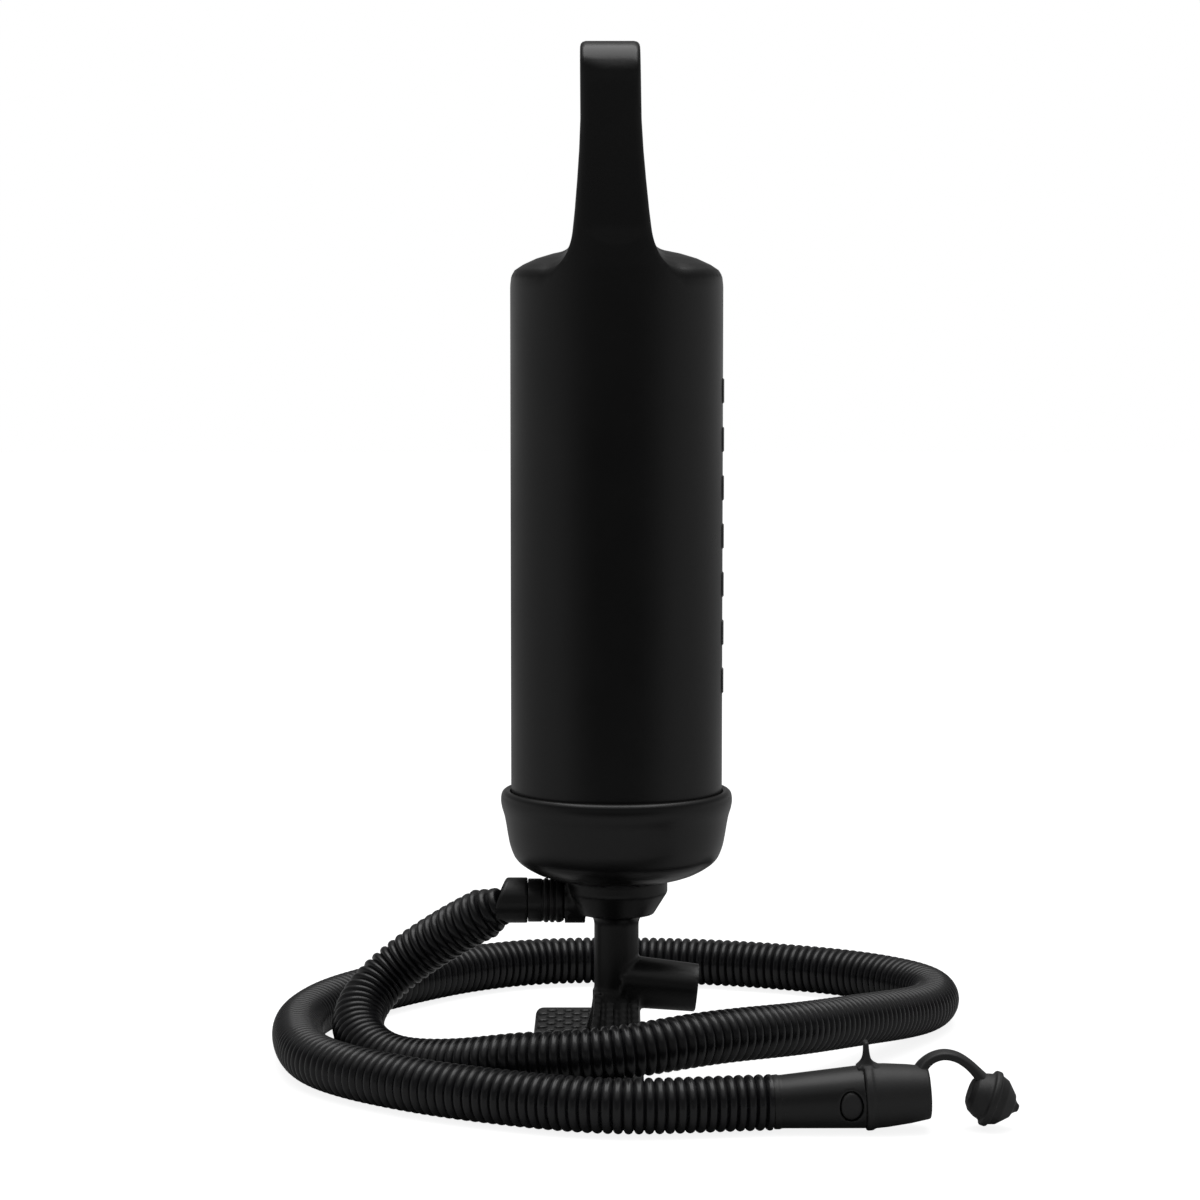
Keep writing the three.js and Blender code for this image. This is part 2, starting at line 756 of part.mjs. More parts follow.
// ---- Nozzle end: tapered cuff, push-in adaptor, strap and plug ----
const nozzle = new THREE.Group();
nozzle.position.copy(hoseEnd);
nozzle.rotation.set(
  0,
  THREE.MathUtils.degToRad(90 - nozzleTilt),
  THREE.MathUtils.degToRad(nozzleHeading),
  "ZYX",
);
pump.add(nozzle);

// In the nozzle's own frame +Z runs out of the hose, +X is down and +Y is to the back.
function nozzleCuff() {
  const shell = solid(turned([
    [0, coneStart],
    [coneSmall - 0.8, coneStart],
    [coneSmall, coneStart + 0.8],
    [coneLarge, coneLength],
    [0, coneLength],
  ], 32));
  const bore = disc(nozzleBore, -1, 27, smallSides);
  const socket = disc(nozzleBore + 3.3, 26, coneLength + 1, smallSides);
  const window = solid(pushed(
    new THREE.Shape().absellipse(1.5, 35, 6, 4.2, 0, Math.PI * 2),
    0,
    30,
    8,
  )).rotate([90, 0, 0]);
  return cut(shell, bore, socket, window);
}
addMesh("nozzle_cuff", nozzleCuff(), hoseBlack, nozzle);

const adaptorLow = coneLength + fitGap;
const adaptorTop = adaptorLow + adaptorReach;
function nozzleAdaptor() {
  const spigotRadius = nozzleBore + 3;
  const shell = solid(turned([
    [0, 28],
    [spigotRadius, 28],
    [spigotRadius, adaptorLow],
    [adaptorFlange, adaptorLow],
    [adaptorFlange, adaptorLow + 3],
    [adaptorTip + 0.6, adaptorTop - 2],
    [adaptorTip, adaptorTop],
    [0, adaptorTop],
  ], 32));
  const bore = solid(turned([
    [0, 27],
    [nozzleBore, 27],
    [nozzleBore, adaptorTop - 14],
    [mouthBore, adaptorTop + 1],
    [0, adaptorTop + 1],
  ], smallSides));
  const lug = solid(pushed(
    new THREE.Shape().absellipse(1.5, 35, 5.4, 3.6, 0, Math.PI * 2),
    9,
    12.6,
    8,
  )).rotate([90, 0, 0]);
  const tab = box(-adaptorFlange - 10.5, 2 - adaptorFlange, -3.5, 3.5, adaptorLow, adaptorLow + 2.2);
  return union(shell, lug, tab).subtract(bore);
}
addMesh("nozzle_adaptor", nozzleAdaptor(), softGrey, nozzle);

const strapHeight = 3.2;
const strapWidth = 7;
// Heights above the adaptor's tip, where the strap starts.
const strapLevel = hoseLevel + adaptorTip + 3.8;
const strapRoute = [
  [137.6, -122.6, 2],
  [142.5, -122.6, 4.6],
  [149, -122.6, 4.9],
  [155.5, -122.6, 2.3],
  [160.5, -122.5, -1.3],
].map(([x, y, rise]) => new THREE.Vector3(x, y, strapLevel + rise));
addMesh("plug_strap", new THREE.ExtrudeGeometry(
  polygon([
    [-strapWidth / 2, -strapHeight / 2],
    [strapWidth / 2, -strapHeight / 2],
    [strapWidth / 2, strapHeight / 2],
    [-strapWidth / 2, strapHeight / 2],
  ]),
  { steps: 14, extrudePath: new THREE.CatmullRomCurve3(strapRoute), bevelEnabled: false },
), softGrey);

const plug = addMesh("nozzle_plug", turned([
  [0, -11],
  [plugRadius - 6.6, -11],
  [plugRadius - 4.2, -8.6],
  [plugRadius - 2, -2.2],
  [plugRadius - 0.2, -1.6],
  [plugRadius, 0.4],
  [plugRadius - 1.4, 1.2],
  [plugRadius - 3.2, 4.5],
  [3, 11],
  [0, 11.6],
], 24), softGrey);
plug.position.copy(plugAt);
plug.rotation.y = THREE.MathUtils.degToRad(90 + plugTilt);

export default pump;
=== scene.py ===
# %% [markdown]
# # A double action hand pump
# A tall black barrel with a loop handle slides over a fixed piston. The piston stands on a rod, and
# the rod on a foot that the user stands on. A corrugated hose leaves the foot, goes once round the
# pump and ends in a nozzle with a plug on a strap. The CAD frame gives the bodies and some of the
# places; the other sizes below are written out in millimetres to follow the CAD's. This lesson
# builds the visible skins, piece by piece, and a procedural finish for each.

# %% Load the frame
import math

import bpy
import numpy as np
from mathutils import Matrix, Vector


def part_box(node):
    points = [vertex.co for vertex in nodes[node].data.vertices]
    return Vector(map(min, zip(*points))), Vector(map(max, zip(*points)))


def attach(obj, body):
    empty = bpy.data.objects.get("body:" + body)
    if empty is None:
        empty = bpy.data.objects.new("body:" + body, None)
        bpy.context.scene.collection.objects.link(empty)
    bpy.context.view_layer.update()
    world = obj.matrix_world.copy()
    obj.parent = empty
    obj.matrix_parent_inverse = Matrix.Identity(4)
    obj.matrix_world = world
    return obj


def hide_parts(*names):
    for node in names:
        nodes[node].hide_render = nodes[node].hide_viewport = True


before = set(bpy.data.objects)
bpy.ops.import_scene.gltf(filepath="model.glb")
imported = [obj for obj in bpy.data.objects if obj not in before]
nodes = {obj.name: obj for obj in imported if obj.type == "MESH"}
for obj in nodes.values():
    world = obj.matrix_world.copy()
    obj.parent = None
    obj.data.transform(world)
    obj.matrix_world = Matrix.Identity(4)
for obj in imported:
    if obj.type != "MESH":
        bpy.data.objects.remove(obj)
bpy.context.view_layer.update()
MM = 0.001


# %% A helper for places
def box_mm(node):
    """The lowest and highest corner of a CAD node, in millimetres."""
    low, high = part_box(node)
    return np.array(low) / MM, np.array(high) / MM


barrel_low, barrel_high = box_mm("barrel")
foot_low, foot_high = box_mm("foot_stand")
nut_low, nut_high = box_mm("hose_nut")
print("barrel from", barrel_low.round(1), "to", barrel_high.round(1))

# %% [markdown]
# ## Camera
# A long lens from over a metre and a half away keeps the barrel's sides almost parallel. The camera
# stands a third of a metre above the floor and looks down a few degrees, so the hose's loop on the
# floor opens into a flat ellipse.

# %% Camera
camera_data = bpy.data.cameras.new("camera")
camera_data.sensor_width = 36
camera_data.lens = 100.5
camera_data.clip_end = 50
camera = bpy.data.objects.new("camera", camera_data)
camera.location = (-0.0041, -1.594, 0.356)
camera.rotation_euler = (math.radians(90 - 4.635), 0, math.radians(0.137))
bpy.context.collection.objects.link(camera)
bpy.context.scene.camera = camera

# %% [markdown]
# ## Finishes: shared effects
# Moulded plastic is never one flat colour. Its skin has a fine spark-eroded grain, its edges rub
# smooth and are painted pale, part wear and part painted highlight, and handling leaves faint patches
# of different gloss. Each effect is a node group with named sockets, built once here and then placed
# in every material with its own values.


# %% Node group helpers
def new_group(name, inputs, outputs):
    """A shader node group. inputs are (name, default) pairs and outputs are (name, socket type)."""
    group = bpy.data.node_groups.new(name, "ShaderNodeTree")
    for label, default in inputs:
        kind = "NodeSocketColor" if isinstance(default, tuple) else "NodeSocketFloat"
        socket = group.interface.new_socket(label, in_out="INPUT", socket_type=kind)
        socket.default_value = default
    for label, kind in outputs:
        group.interface.new_socket(label, in_out="OUTPUT", socket_type=kind)
    start = group.nodes.new("NodeGroupInput")
    end = group.nodes.new("NodeGroupOutput")
    return group, start, end


def link(tree, source, target):
    tree.links.new(source, target)


def math_node(tree, operation, first, second=None, clamp=False):
    node = tree.nodes.new("ShaderNodeMath")
    node.operation = operation
    node.use_clamp = clamp
    for index, value in enumerate((first, second)):
        if value is None:
            continue
        if isinstance(value, (int, float)):
            node.inputs[index].default_value = value
        else:
            link(tree, value, node.inputs[index])
    return node.outputs[0]


def noise_node(tree, scale, detail=2.0, roughness=0.5):
    """Noise over the piece's own coordinates. scale is a number or a socket, in waves per metre."""
    place = tree.nodes.new("ShaderNodeTexCoord")
    noise = tree.nodes.new("ShaderNodeTexNoise")
    link(tree, place.outputs["Object"], noise.inputs["Vector"])
    if isinstance(scale, (int, float)):
        noise.inputs["Scale"].default_value = scale
    else:
        link(tree, scale, noise.inputs["Scale"])
    noise.inputs["Detail"].default_value = detail
    noise.inputs["Roughness"].default_value = roughness
    return noise.outputs["Fac"]


# %% Effect: moulded grain
def build_grain_group():
    group, start, end = new_group(
        "moulded_grain",
        [("Grain Scale", 2200.0), ("Wave Scale", 30.0), ("Wave Share", 0.3)],
        [("Height", "NodeSocketFloat")],
    )
    fine = noise_node(group, start.outputs["Grain Scale"], detail=3)
    broad = noise_node(group, start.outputs["Wave Scale"], detail=1)
    broad_part = math_node(group, "MULTIPLY", broad, start.outputs["Wave Share"])
    total = math_node(group, "ADD", fine, broad_part)
    link(group, total, end.inputs["Height"])
    return group


grain_group = build_grain_group()


# %% Effect: edge wear and painted highlight
def build_wear_group():
    """A mask that is 1 on convex edges and rib crests and 0 elsewhere, broken up by noise. The pale colour
    it lays there is part wear and part painted highlight.
    """
    group, start, end = new_group(
        "edge_wear",
        [("Amount", 0.6), ("Breakup Scale", 180.0)],
        [("Mask", "NodeSocketFloat")],
    )
    geometry = group.nodes.new("ShaderNodeNewGeometry")
    raised = math_node(group, "SUBTRACT", geometry.outputs["Pointiness"], 0.51)
    sharp = math_node(group, "MULTIPLY", raised, 14.0, clamp=True)
    broken = noise_node(group, start.outputs["Breakup Scale"], detail=4, roughness=0.6)
    patchy = math_node(group, "MULTIPLY", sharp, broken)
    mask = math_node(group, "MULTIPLY", patchy, start.outputs["Amount"], clamp=True)
    link(group, mask, end.inputs["Mask"])
    return group


wear_group = build_wear_group()


# %% Effect: gloss patches and dust
def build_patch_group():
    """Slow variation of gloss from handling, and a mask of thin dust on faces that look up."""
    group, start, end = new_group(
        "gloss_and_dust",
        [("Base Roughness", 0.4), ("Spread", 0.08), ("Patch Scale", 28.0), ("Dust", 0.1)],
        [("Roughness", "NodeSocketFloat"), ("Dust Mask", "NodeSocketFloat")],
    )
    patches = noise_node(group, start.outputs["Patch Scale"], detail=3)
    centred = math_node(group, "SUBTRACT", patches, 0.5)
    offset = math_node(group, "MULTIPLY", centred, start.outputs["Spread"])
    doubled = math_node(group, "MULTIPLY", offset, 2.0)
    gloss = math_node(group, "ADD", doubled, start.outputs["Base Roughness"], clamp=True)
    link(group, gloss, end.inputs["Roughness"])
    geometry = group.nodes.new("ShaderNodeNewGeometry")
    split = group.nodes.new("ShaderNodeSeparateXYZ")
    link(group, geometry.outputs["Normal"], split.inputs[0])
    upward = math_node(group, "SUBTRACT", split.outputs["Z"], 0.55)
    strong = math_node(group, "MULTIPLY", upward, 2.0, clamp=True)
    specks = noise_node(group, 420.0, detail=5, roughness=0.7)
    speckled = math_node(group, "MULTIPLY", strong, specks)
    dust = math_node(group, "MULTIPLY", speckled, start.outputs["Dust"], clamp=True)
    link(group, dust, end.inputs["Dust Mask"])
    return group


patch_group = build_patch_group()
print("effects:", [g.name for g in bpy.data.node_groups])

# %% [markdown]
# ## Finishes: one material per real finish
# All plastics share one recipe: a dark body colour with slow tone changes, paler edges and rib
# crests that are part wear and part painted highlight, a film of dust on faces that look up, gloss
# that varies, and grain as bump. The values make the difference between the satin barrel, the
# shinier hose and the soft, dull nozzle.


# %% The plastic recipe
def place_group(tree, group, values):
    node = tree.nodes.new("ShaderNodeGroup")
    node.node_tree = group
    for label, value in values.items():
        node.inputs[label].default_value = value
    return node


def mix_colour(tree, mask, first, second):
    node = tree.nodes.new("ShaderNodeMix")
    node.data_type = "RGBA"
    link(tree, mask, node.inputs["Factor"])
    for socket, value in ((node.inputs["A"], first), (node.inputs["B"], second)):
        if isinstance(value, tuple):
            socket.default_value = (*value, 1)
        else:
            link(tree, value, socket)
    return node.outputs["Result"]


def plastic(name, dark, light, wear_and_highlight_colour, roughness, **values):
    """A moulded plastic or rubber. dark and light are its tones; the third colour goes on convex edges and
    rib crests, part wear and part painted highlight.
    """
    material = bpy.data.materials.new(name)
    material.use_nodes = True
    tree = material.node_tree
    shader = tree.nodes["Principled BSDF"]
    tone = noise_node(tree, values.get("tone_scale", 45.0), detail=4, roughness=0.6)
    body = mix_colour(tree, tone, dark, light)
    # Convex edges and rib crests take a paler colour: part wear, part painted highlight.
    wear = place_group(tree, wear_group, {"Amount": values.get("wear", 0.5)})
    edged = mix_colour(tree, wear.outputs["Mask"], body, wear_and_highlight_colour)
    patch = place_group(
        tree,
        patch_group,
        {
            "Base Roughness": roughness,
            "Spread": values.get("spread", 0.07),
            "Dust": values.get("dust", 0.1),
        },
    )
    dusted = mix_colour(tree, patch.outputs["Dust Mask"], edged, (0.32, 0.31, 0.3))
    link(tree, dusted, shader.inputs["Base Color"])
    link(tree, patch.outputs["Roughness"], shader.inputs["Roughness"])
    grain = place_group(tree, grain_group, {"Grain Scale": values.get("grain_scale", 2200.0)})
    bump = tree.nodes.new("ShaderNodeBump")
    bump.inputs["Strength"].default_value = values.get("bump", 0.12)
    bump.inputs["Distance"].default_value = 0.0002
    link(tree, grain.outputs["Height"], bump.inputs["Height"])
    link(tree, bump.outputs["Normal"], shader.inputs["Normal"])
    return material


# %% Plastics of the pump
satin_black = plastic(
    "satin_black_moulding",
    (0.0035, 0.0035, 0.0036),
    (0.0055, 0.0055, 0.0057),
    (0.03, 0.03, 0.031),
    roughness=0.3,
    dust=0.05,
)
foot_black = plastic(
    "foot_black_moulding",
    (0.0025, 0.0025, 0.0026),
    (0.0045, 0.0045, 0.0047),
    (0.04, 0.04, 0.041),
    roughness=0.34,
    wear=0.6,
    dust=0.04,
    bump=0.2,
)
hose_black = plastic(
    "hose_black_vinyl",
    (0.004, 0.004, 0.0048),
    (0.007, 0.007, 0.0082),
    (0.03, 0.03, 0.034),
    roughness=0.27,
    dust=0.06,
    bump=0.08,
)
nozzle_black = plastic(
    "nozzle_black_moulding",
    (0.006, 0.006, 0.0062),
    (0.009, 0.009, 0.0092),
    (0.04, 0.04, 0.041),
    roughness=0.38,
    dust=0.05,
)
soft_grey = plastic(
    "soft_grey_vinyl",
    (0.014, 0.014, 0.0143),
    (0.021, 0.021, 0.0214),
    (0.06, 0.06, 0.061),
    roughness=0.5,
    wear=0.3,
    dust=0.1,
    bump=0.25,
    grain_scale=1500.0,
)
seal_rubber = plastic(
    "seal_rubber",
    (0.01, 0.01, 0.01),
    (0.017, 0.017, 0.017),
    (0.04, 0.04, 0.04),
    roughness=0.62,
    bump=0.2,
)
piston_white = plastic(
    "piston_natural_moulding",
    (0.55, 0.54, 0.5),
    (0.66, 0.65, 0.61),
    (0.72, 0.71, 0.68),
    roughness=0.4,
    dust=0.05,
)
rod_grey = plastic(
    "rod_grey_tube",
    (0.3, 0.31, 0.32),
    (0.36, 0.37, 0.38),
    (0.5, 0.5, 0.5),
    roughness=0.26,
    spread=0.12,
    bump=0.06,
)


# %% Screw steel
def plated_steel():
    material = bpy.data.materials.new("plated_screw_steel")
    material.use_nodes = True
    tree = material.node_tree
    shader = tree.nodes["Principled BSDF"]
    shader.inputs["Metallic"].default_value = 1.0
    tone = noise_node(tree, 900.0, detail=4)
    link(tree, mix_colour(tree, tone, (0.5, 0.5, 0.52), (0.66, 0.66, 0.68)), shader.inputs["Base Color"])
    patch = place_group(tree, patch_group, {"Base Roughness": 0.28, "Patch Scale": 300.0})
    link(tree, patch.outputs["Roughness"], shader.inputs["Roughness"])
    return material


screw_steel = plated_steel()

# %% [markdown]
# ## A way to mesh smooth mouldings
# A real moulding blends: the handle's legs run into the dome with a fillet, the column into the
# housing. Booleans of simple shapes leave hard creases, so these pieces are written as distance
# fields instead. A field is negative inside the material. Two fields join with a smooth minimum,
# which makes the fillet, and a net of quads is then stretched over the zero level.


# %% Distance fields
def smooth_min(a, b, radius):
    share = np.clip(0.5 + 0.5 * (b - a) / radius, 0, 1)
    return b * (1 - share) + a * share - radius * share * (1 - share)


def smooth_max(a, b, radius):
    return -smooth_min(-a, -b, radius)


def outline_distance(points, x, y):
    """Signed distance in the plane to a closed outline of points."""
    nearest = np.full(np.shape(x), 1e9)
    inside = np.zeros(np.shape(x), bool)
    for (x0, y0), (x1, y1) in zip(points, points[1:] + points[:1]):
        ex, ey = x1 - x0, y1 - y0
        wx, wy = x - x0, y - y0
        along = np.clip((wx * ex + wy * ey) / (ex * ex + ey * ey), 0, 1)
        nearest = np.minimum(nearest, (wx - ex * along) ** 2 + (wy - ey * along) ** 2)
        if y0 != y1:
            crosses = ((y0 <= y) & (y < y1)) | ((y1 <= y) & (y < y0))
            inside ^= crosses & (wx < ex * (y - y0) / ey)
    return np.where(inside, -1, 1) * np.sqrt(nearest)


def turned_field(p, points, rounding=0.0):
    """A profile of (radius, height) points turned about Z, its corners rounded."""
    return outline_distance(points, np.hypot(p[..., 0], p[..., 1]), p[..., 2]) - rounding


def rod_field(p, radius, low, high):
    """A plain cylinder along Z."""
    middle, half = (low + high) / 2, (high - low) / 2
    across = np.hypot(p[..., 0], p[..., 1]) - radius
    along = np.abs(p[..., 2] - middle) - half
    outside = np.hypot(np.maximum(across, 0), np.maximum(along, 0))
    return outside + np.minimum(np.maximum(across, along), 0)


def block_field(p, low, high, rounding=0.0):
    low, high = np.array(low, float), np.array(high, float)
    away = np.abs(p - (low + high) / 2) - (high - low) / 2 + rounding
    outside = np.linalg.norm(np.maximum(away, 0), axis=-1)
    return outside + np.minimum(away.max(axis=-1), 0) - rounding


def moved(p, origin, matrix):
    """Points seen from a turned frame at origin. matrix's columns are that frame's axes."""
    return (p - np.array(origin, float)) @ matrix


def axes_along(direction, up=(0, 1, 0)):
    """A frame whose Z axis runs along direction."""
    z = np.array(direction, float) / np.linalg.norm(direction)
    x = np.cross(up, z)
    x /= np.linalg.norm(x)
    return np.stack([x, np.cross(z, x), z], axis=1)


# %% A net of quads over the zero level
def pull_to_surface(field, points, step, rounds=5):
    """Newton steps along the field's gradient, each no longer than the grid's step."""
    nudge = 0.02
    for _ in range(rounds):
        value = field(points)
        changes = [field(points + nudge * axis) - field(points - nudge * axis) for axis in np.eye(3)]
        slope = np.stack(changes, axis=-1) / (2 * nudge)
        size = np.maximum((slope**2).sum(axis=-1), 0.05)
        points = points - np.clip(value / size, -step, step)[:, None] * slope
    return points


def net_over(field, low, high, step):
    """Vertices and quads over the field's zero level, all in millimetres."""
    axes = [np.arange(a - 2 * step, b + 2.5 * step, step) + 0.013 for a, b in zip(low, high)]
    grid = np.stack(np.meshgrid(*axes, indexing="ij"), axis=-1)
    inside = field(grid) < 0
    cells = tuple(n - 1 for n in inside.shape)
    corners = np.zeros(cells, int)
    for i, j, k in np.ndindex(2, 2, 2):
        corners += inside[i:cells[0] + i, j:cells[1] + j, k:cells[2] + k]
    active = (corners > 0) & (corners < 8)
    number = np.full(cells, -1)
    number[active] = np.arange(active.sum())
    where = np.argwhere(active)
    start = np.stack([axes[a][where[:, a]] + step / 2 for a in range(3)], axis=-1)
    quads = []
    for axis in range(3):
        b, c = (axis + 1) % 3, (axis + 2) % 3
        here = np.moveaxis(inside, (axis, b, c), (0, 1, 2))
        cell = np.moveaxis(number, (axis, b, c), (0, 1, 2))
        change = here[:-1, 1:-1, 1:-1] != here[1:, 1:-1, 1:-1]
        at = np.argwhere(change)
        i, j, k = at[:, 0], at[:, 1] + 1, at[:, 2] + 1
        quad = np.stack([cell[i, j - 1, k - 1], cell[i, j, k - 1], cell[i, j, k], cell[i, j - 1, k]], axis=1)
        outward = here[i, j, k]
        quads.append(np.where(outward[:, None], quad, quad[:, ::-1]))
    return pull_to_surface(field, start, step), np.concatenate(quads)


# %% From arrays to Blender meshes
def make_object(name, points_mm, faces, material, body, smooth_angle=40):
    """A mesh object from points in millimetres, shaded smooth up to an angle, riding on a body."""
    mesh = bpy.data.meshes.new(name)
    mesh.from_pydata((np.asarray(points_mm) * MM).tolist(), [], [tuple(map(int, f)) for f in faces])
    mesh.validate()
    piece = bpy.data.objects.new(name, mesh)
    bpy.context.collection.objects.link(piece)
    mesh.materials.append(material)
    mesh.shade_smooth()
    mesh.set_sharp_from_angle(angle=math.radians(smooth_angle))
    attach(piece, body)
    print(f"{name}: {len(mesh.vertices)} vertices, {len(mesh.polygons)} faces")
    return piece


def moulded(name, field, low, high, step, material, body, smooth_angle=50):
    points, quads = net_over(field, low, high, step)
    return make_object(name, points, quads, material, body, smooth_angle)


def ring_faces(rings, sides, closed):
    """Quads between rings of vertices. closed joins the last ring to the first."""
    faces = []
    for i in range(rings if closed else rings - 1):
        following = (i + 1) % rings
        for j in range(sides):
            k = (j + 1) % sides
            faces.append((i * sides + j, i * sides + k, following * sides + k, following * sides + j))
    return faces


def turned_piece(name, profile, material, body, sides=128, frame_at=None, smooth_angle=32):
    """A closed profile of (radius, height) turned about Z, or about a given frame's Z."""
    angles = np.arange(sides) * 2 * np.pi / sides
    rings = [[(r * np.cos(a), r * np.sin(a), z) for a in angles] for r, z in profile]
    points = np.array(rings, float).reshape(-1, 3)
    if frame_at is not None:
        origin, matrix = frame_at
        points = points @ matrix.T + np.array(origin, float)
    return make_object(name, points, ring_faces(len(profile), sides, True), material, body, smooth_angle)


def rounded_profile(points, radius=0.8, steps=4):
    """Each corner of a closed (radius, height) profile becomes a short arc."""
    made = []
    count = len(points)
    for i in range(count):
        before, corner, after = (np.array(points[(i + d) % count], float) for d in (-1, 0, 1))
        to_before, to_after = before - corner, after - corner
        reach = min(radius, 0.45 * np.linalg.norm(to_before), 0.45 * np.linalg.norm(to_after))
        start = corner + to_before / np.linalg.norm(to_before) * reach
        end = corner + to_after / np.linalg.norm(to_after) * reach
        for t in np.linspace(0, 1, steps + 1):
            made.append(tuple((1 - t) ** 2 * start + 2 * t * (1 - t) * corner + t * t * end))
    return made


# %% [markdown]
# ## The hose
# The hose is a corrugated tube: rings of soft vinyl, each a few millimetres wide, with a narrow
# groove between them. Its route repeats the CAD's points, with one more point inside the cuff and
# its two ends moved by a millimetre or less. It leaves the pump's left side, droops to the floor,
# passes over the near pedal, goes round behind the pump and comes back along the front.

# %% The hose's route
HOSE_POINTS = [
    (-54, 0, 80),
    (-62.5, 1.5, 76),
    (-78, 9, 66.5),
    (-94, 16.5, 55.5),
    (-108, 18.5, 45),
    (-118.5, 13, 36),
    (-124.5, 1.5, 28),
    (-124.5, -14, 21),
    (-117.5, -31, 16),
    (-104, -47.5, 13),
    (-68, -72, 17.5),
    (-48, -82, 22.3),
    (-26, -88.5, 24.6),
    (-4, -90, 26.5),
    (18, -85.5, 29),
    (40, -74, 30.3),
    (61, -58, 29.3),
    (82, -38, 27),
    (125, 22, 20),
    (143, 53, 15.8),
    (158, 82, 13),
    (165, 107, 12.8),
    (161, 133, 12.8),
    (143, 158, 12.8),
    (114, 180, 12.8),
    (40, 207, 12.8),
    (-38, 207, 12.8),
    (-72, 190, 12.8),
    (-100, 163, 12.8),
    (-142, 103, 12.8),
    (-153, 70, 12.8),
    (-157, 36, 12.8),
    (-145, -34, 12.8),
    (-127, -62, 12.8),
    (-101, -86, 12.8),
    (-70, -107, 12.8),
    (-10, -132.5, 12.8),
    (18, -133.5, 12.8),
    (59, -127, 12.8),
    (68.4, -126.2, 12.8),
]
HOSE_DIAMETER = 25
RIB_PITCH = 4.5
RIB_DEPTH = 1.9


# %% A smooth curve through the points
def curve_through(points, per_span=16):
    """Centripetal Catmull-Rom through the points. It does no smoothing; relaxed takes the kinks out of the
    hose's line.
    """
    ends = [2 * points[0] - points[1], *points, 2 * points[-1] - points[-2]]
    made = []
    for p0, p1, p2, p3 in zip(ends, ends[1:], ends[2:], ends[3:]):
        t1 = np.linalg.norm(p1 - p0) ** 0.5
        t2 = t1 + np.linalg.norm(p2 - p1) ** 0.5
        t3 = t2 + np.linalg.norm(p3 - p2) ** 0.5
        for t in np.linspace(t1, t2, per_span, endpoint=False):
            a1 = (t1 - t) / t1 * p0 + t / t1 * p1
            a2 = (t2 - t) / (t2 - t1) * p1 + (t - t1) / (t2 - t1) * p2
            a3 = (t3 - t) / (t3 - t2) * p2 + (t - t2) / (t3 - t2) * p3
            b1 = (t2 - t) / t2 * a1 + t / t2 * a2
            b2 = (t3 - t) / (t3 - t1) * a2 + (t - t1) / (t3 - t1) * a3
            made.append((t2 - t) / (t2 - t1) * b1 + (t - t1) / (t2 - t1) * b2)
    return np.array([*made, points[-1]])


def evenly(path, spacing):
    """The same line with points a given distance apart."""
    lengths = np.concatenate([[0], np.cumsum(np.linalg.norm(np.diff(path, axis=0), axis=1))])
    wanted = np.linspace(0, lengths[-1], int(round(lengths[-1] / spacing)) + 1)
    return np.stack([np.interp(wanted, lengths, path[:, a]) for a in range(3)], axis=1)


def relaxed(path, rounds):
    """Each point moves half way to the middle of its neighbours; the ends stay."""
    path = path.copy()
    for _ in range(rounds):
        path[1:-1] += 0.5 * ((path[:-2] + path[2:]) / 2 - path[1:-1])
    return path


rib_samples = 6
hose_line = relaxed(evenly(curve_through(np.array(HOSE_POINTS, float)), 2.0), 60)
hose_path = evenly(hose_line, RIB_PITCH / rib_samples)


# %% A swept tube
def frames_along(path):
    """At each point a direction and two cross directions that don't twist."""
    ahead = np.gradient(path, axis=0)
    ahead /= np.linalg.norm(ahead, axis=1)[:, None]
    side = np.cross(ahead[0], (0, 0, 1.0))
    side /= np.linalg.norm(side)
    sides = []
    for direction in ahead:
        side = side - direction * side.dot(direction)
        side /= np.linalg.norm(side)
        sides.append(side)
    sides = np.array(sides)
    return ahead, sides, np.cross(ahead, sides)


def swept(path, sections):
    """Rings of points: each section holds (side, up) pairs in millimetres."""
    _, side, up = frames_along(path)
    sections = np.asarray(sections)
    return (
        path[:, None, :]
        + sections[..., :1] * side[:, None, :]
        + sections[..., 1:] * up[:, None, :]
    ).reshape(-1, 3)


hose_sides = 40
phase = np.arange(len(hose_path)) / rib_samples
rib_radius = HOSE_DIAMETER / 2 - RIB_DEPTH * (1 - np.abs(np.sin(np.pi * phase)) ** 0.55)
from_start = phase * RIB_PITCH
rib_radius *= np.clip(0.74 + 0.26 * (from_start - 2) / 9, 0.74, 1)
turn = np.arange(hose_sides) * 2 * np.pi / hose_sides
circle = np.stack([np.cos(turn), np.sin(turn)], axis=-1)
hose_points = swept(hose_path, rib_radius[:, None, None] * circle[None])
hose_faces = ring_faces(len(hose_path), hose_sides, False)
hose_faces.append(tuple(reversed(range(hose_sides))))
hose_faces.append(tuple(range(len(hose_points) - hose_sides, len(hose_points))))
hose = make_object("corrugated_hose", hose_points, [f[::-1] for f in hose_faces], hose_black, "base", 60)
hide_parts("hose")

# %% [markdown]
# ## Barrel and handle
# The barrel is one moulded bottle: a straight cylinder, a low dome and a loop handle whose
# legs grow out of the barrel's own wall. The field below turns a profile for the bottle, and cuts
# the loop from an outline seen from the side and a taper seen from the front.

# %% Barrel: the handle's field
BARREL_RADIUS = 50.5
BARREL_WALL = 2.5
SHOULDER = 384.0
MARK_TURN = math.radians(-3.5)
HANDLE_TOP = float(barrel_high[2])
HANDLE_HALF = 50.0
HANDLE_HOLE = (38.5, 397.0, HANDLE_TOP - 27)
TAPER = [(490, 13.9), (452, 14.1), (438, 14.8), (424, 15.9), (410, 17.2), (398, 18.6), (384, 20)]


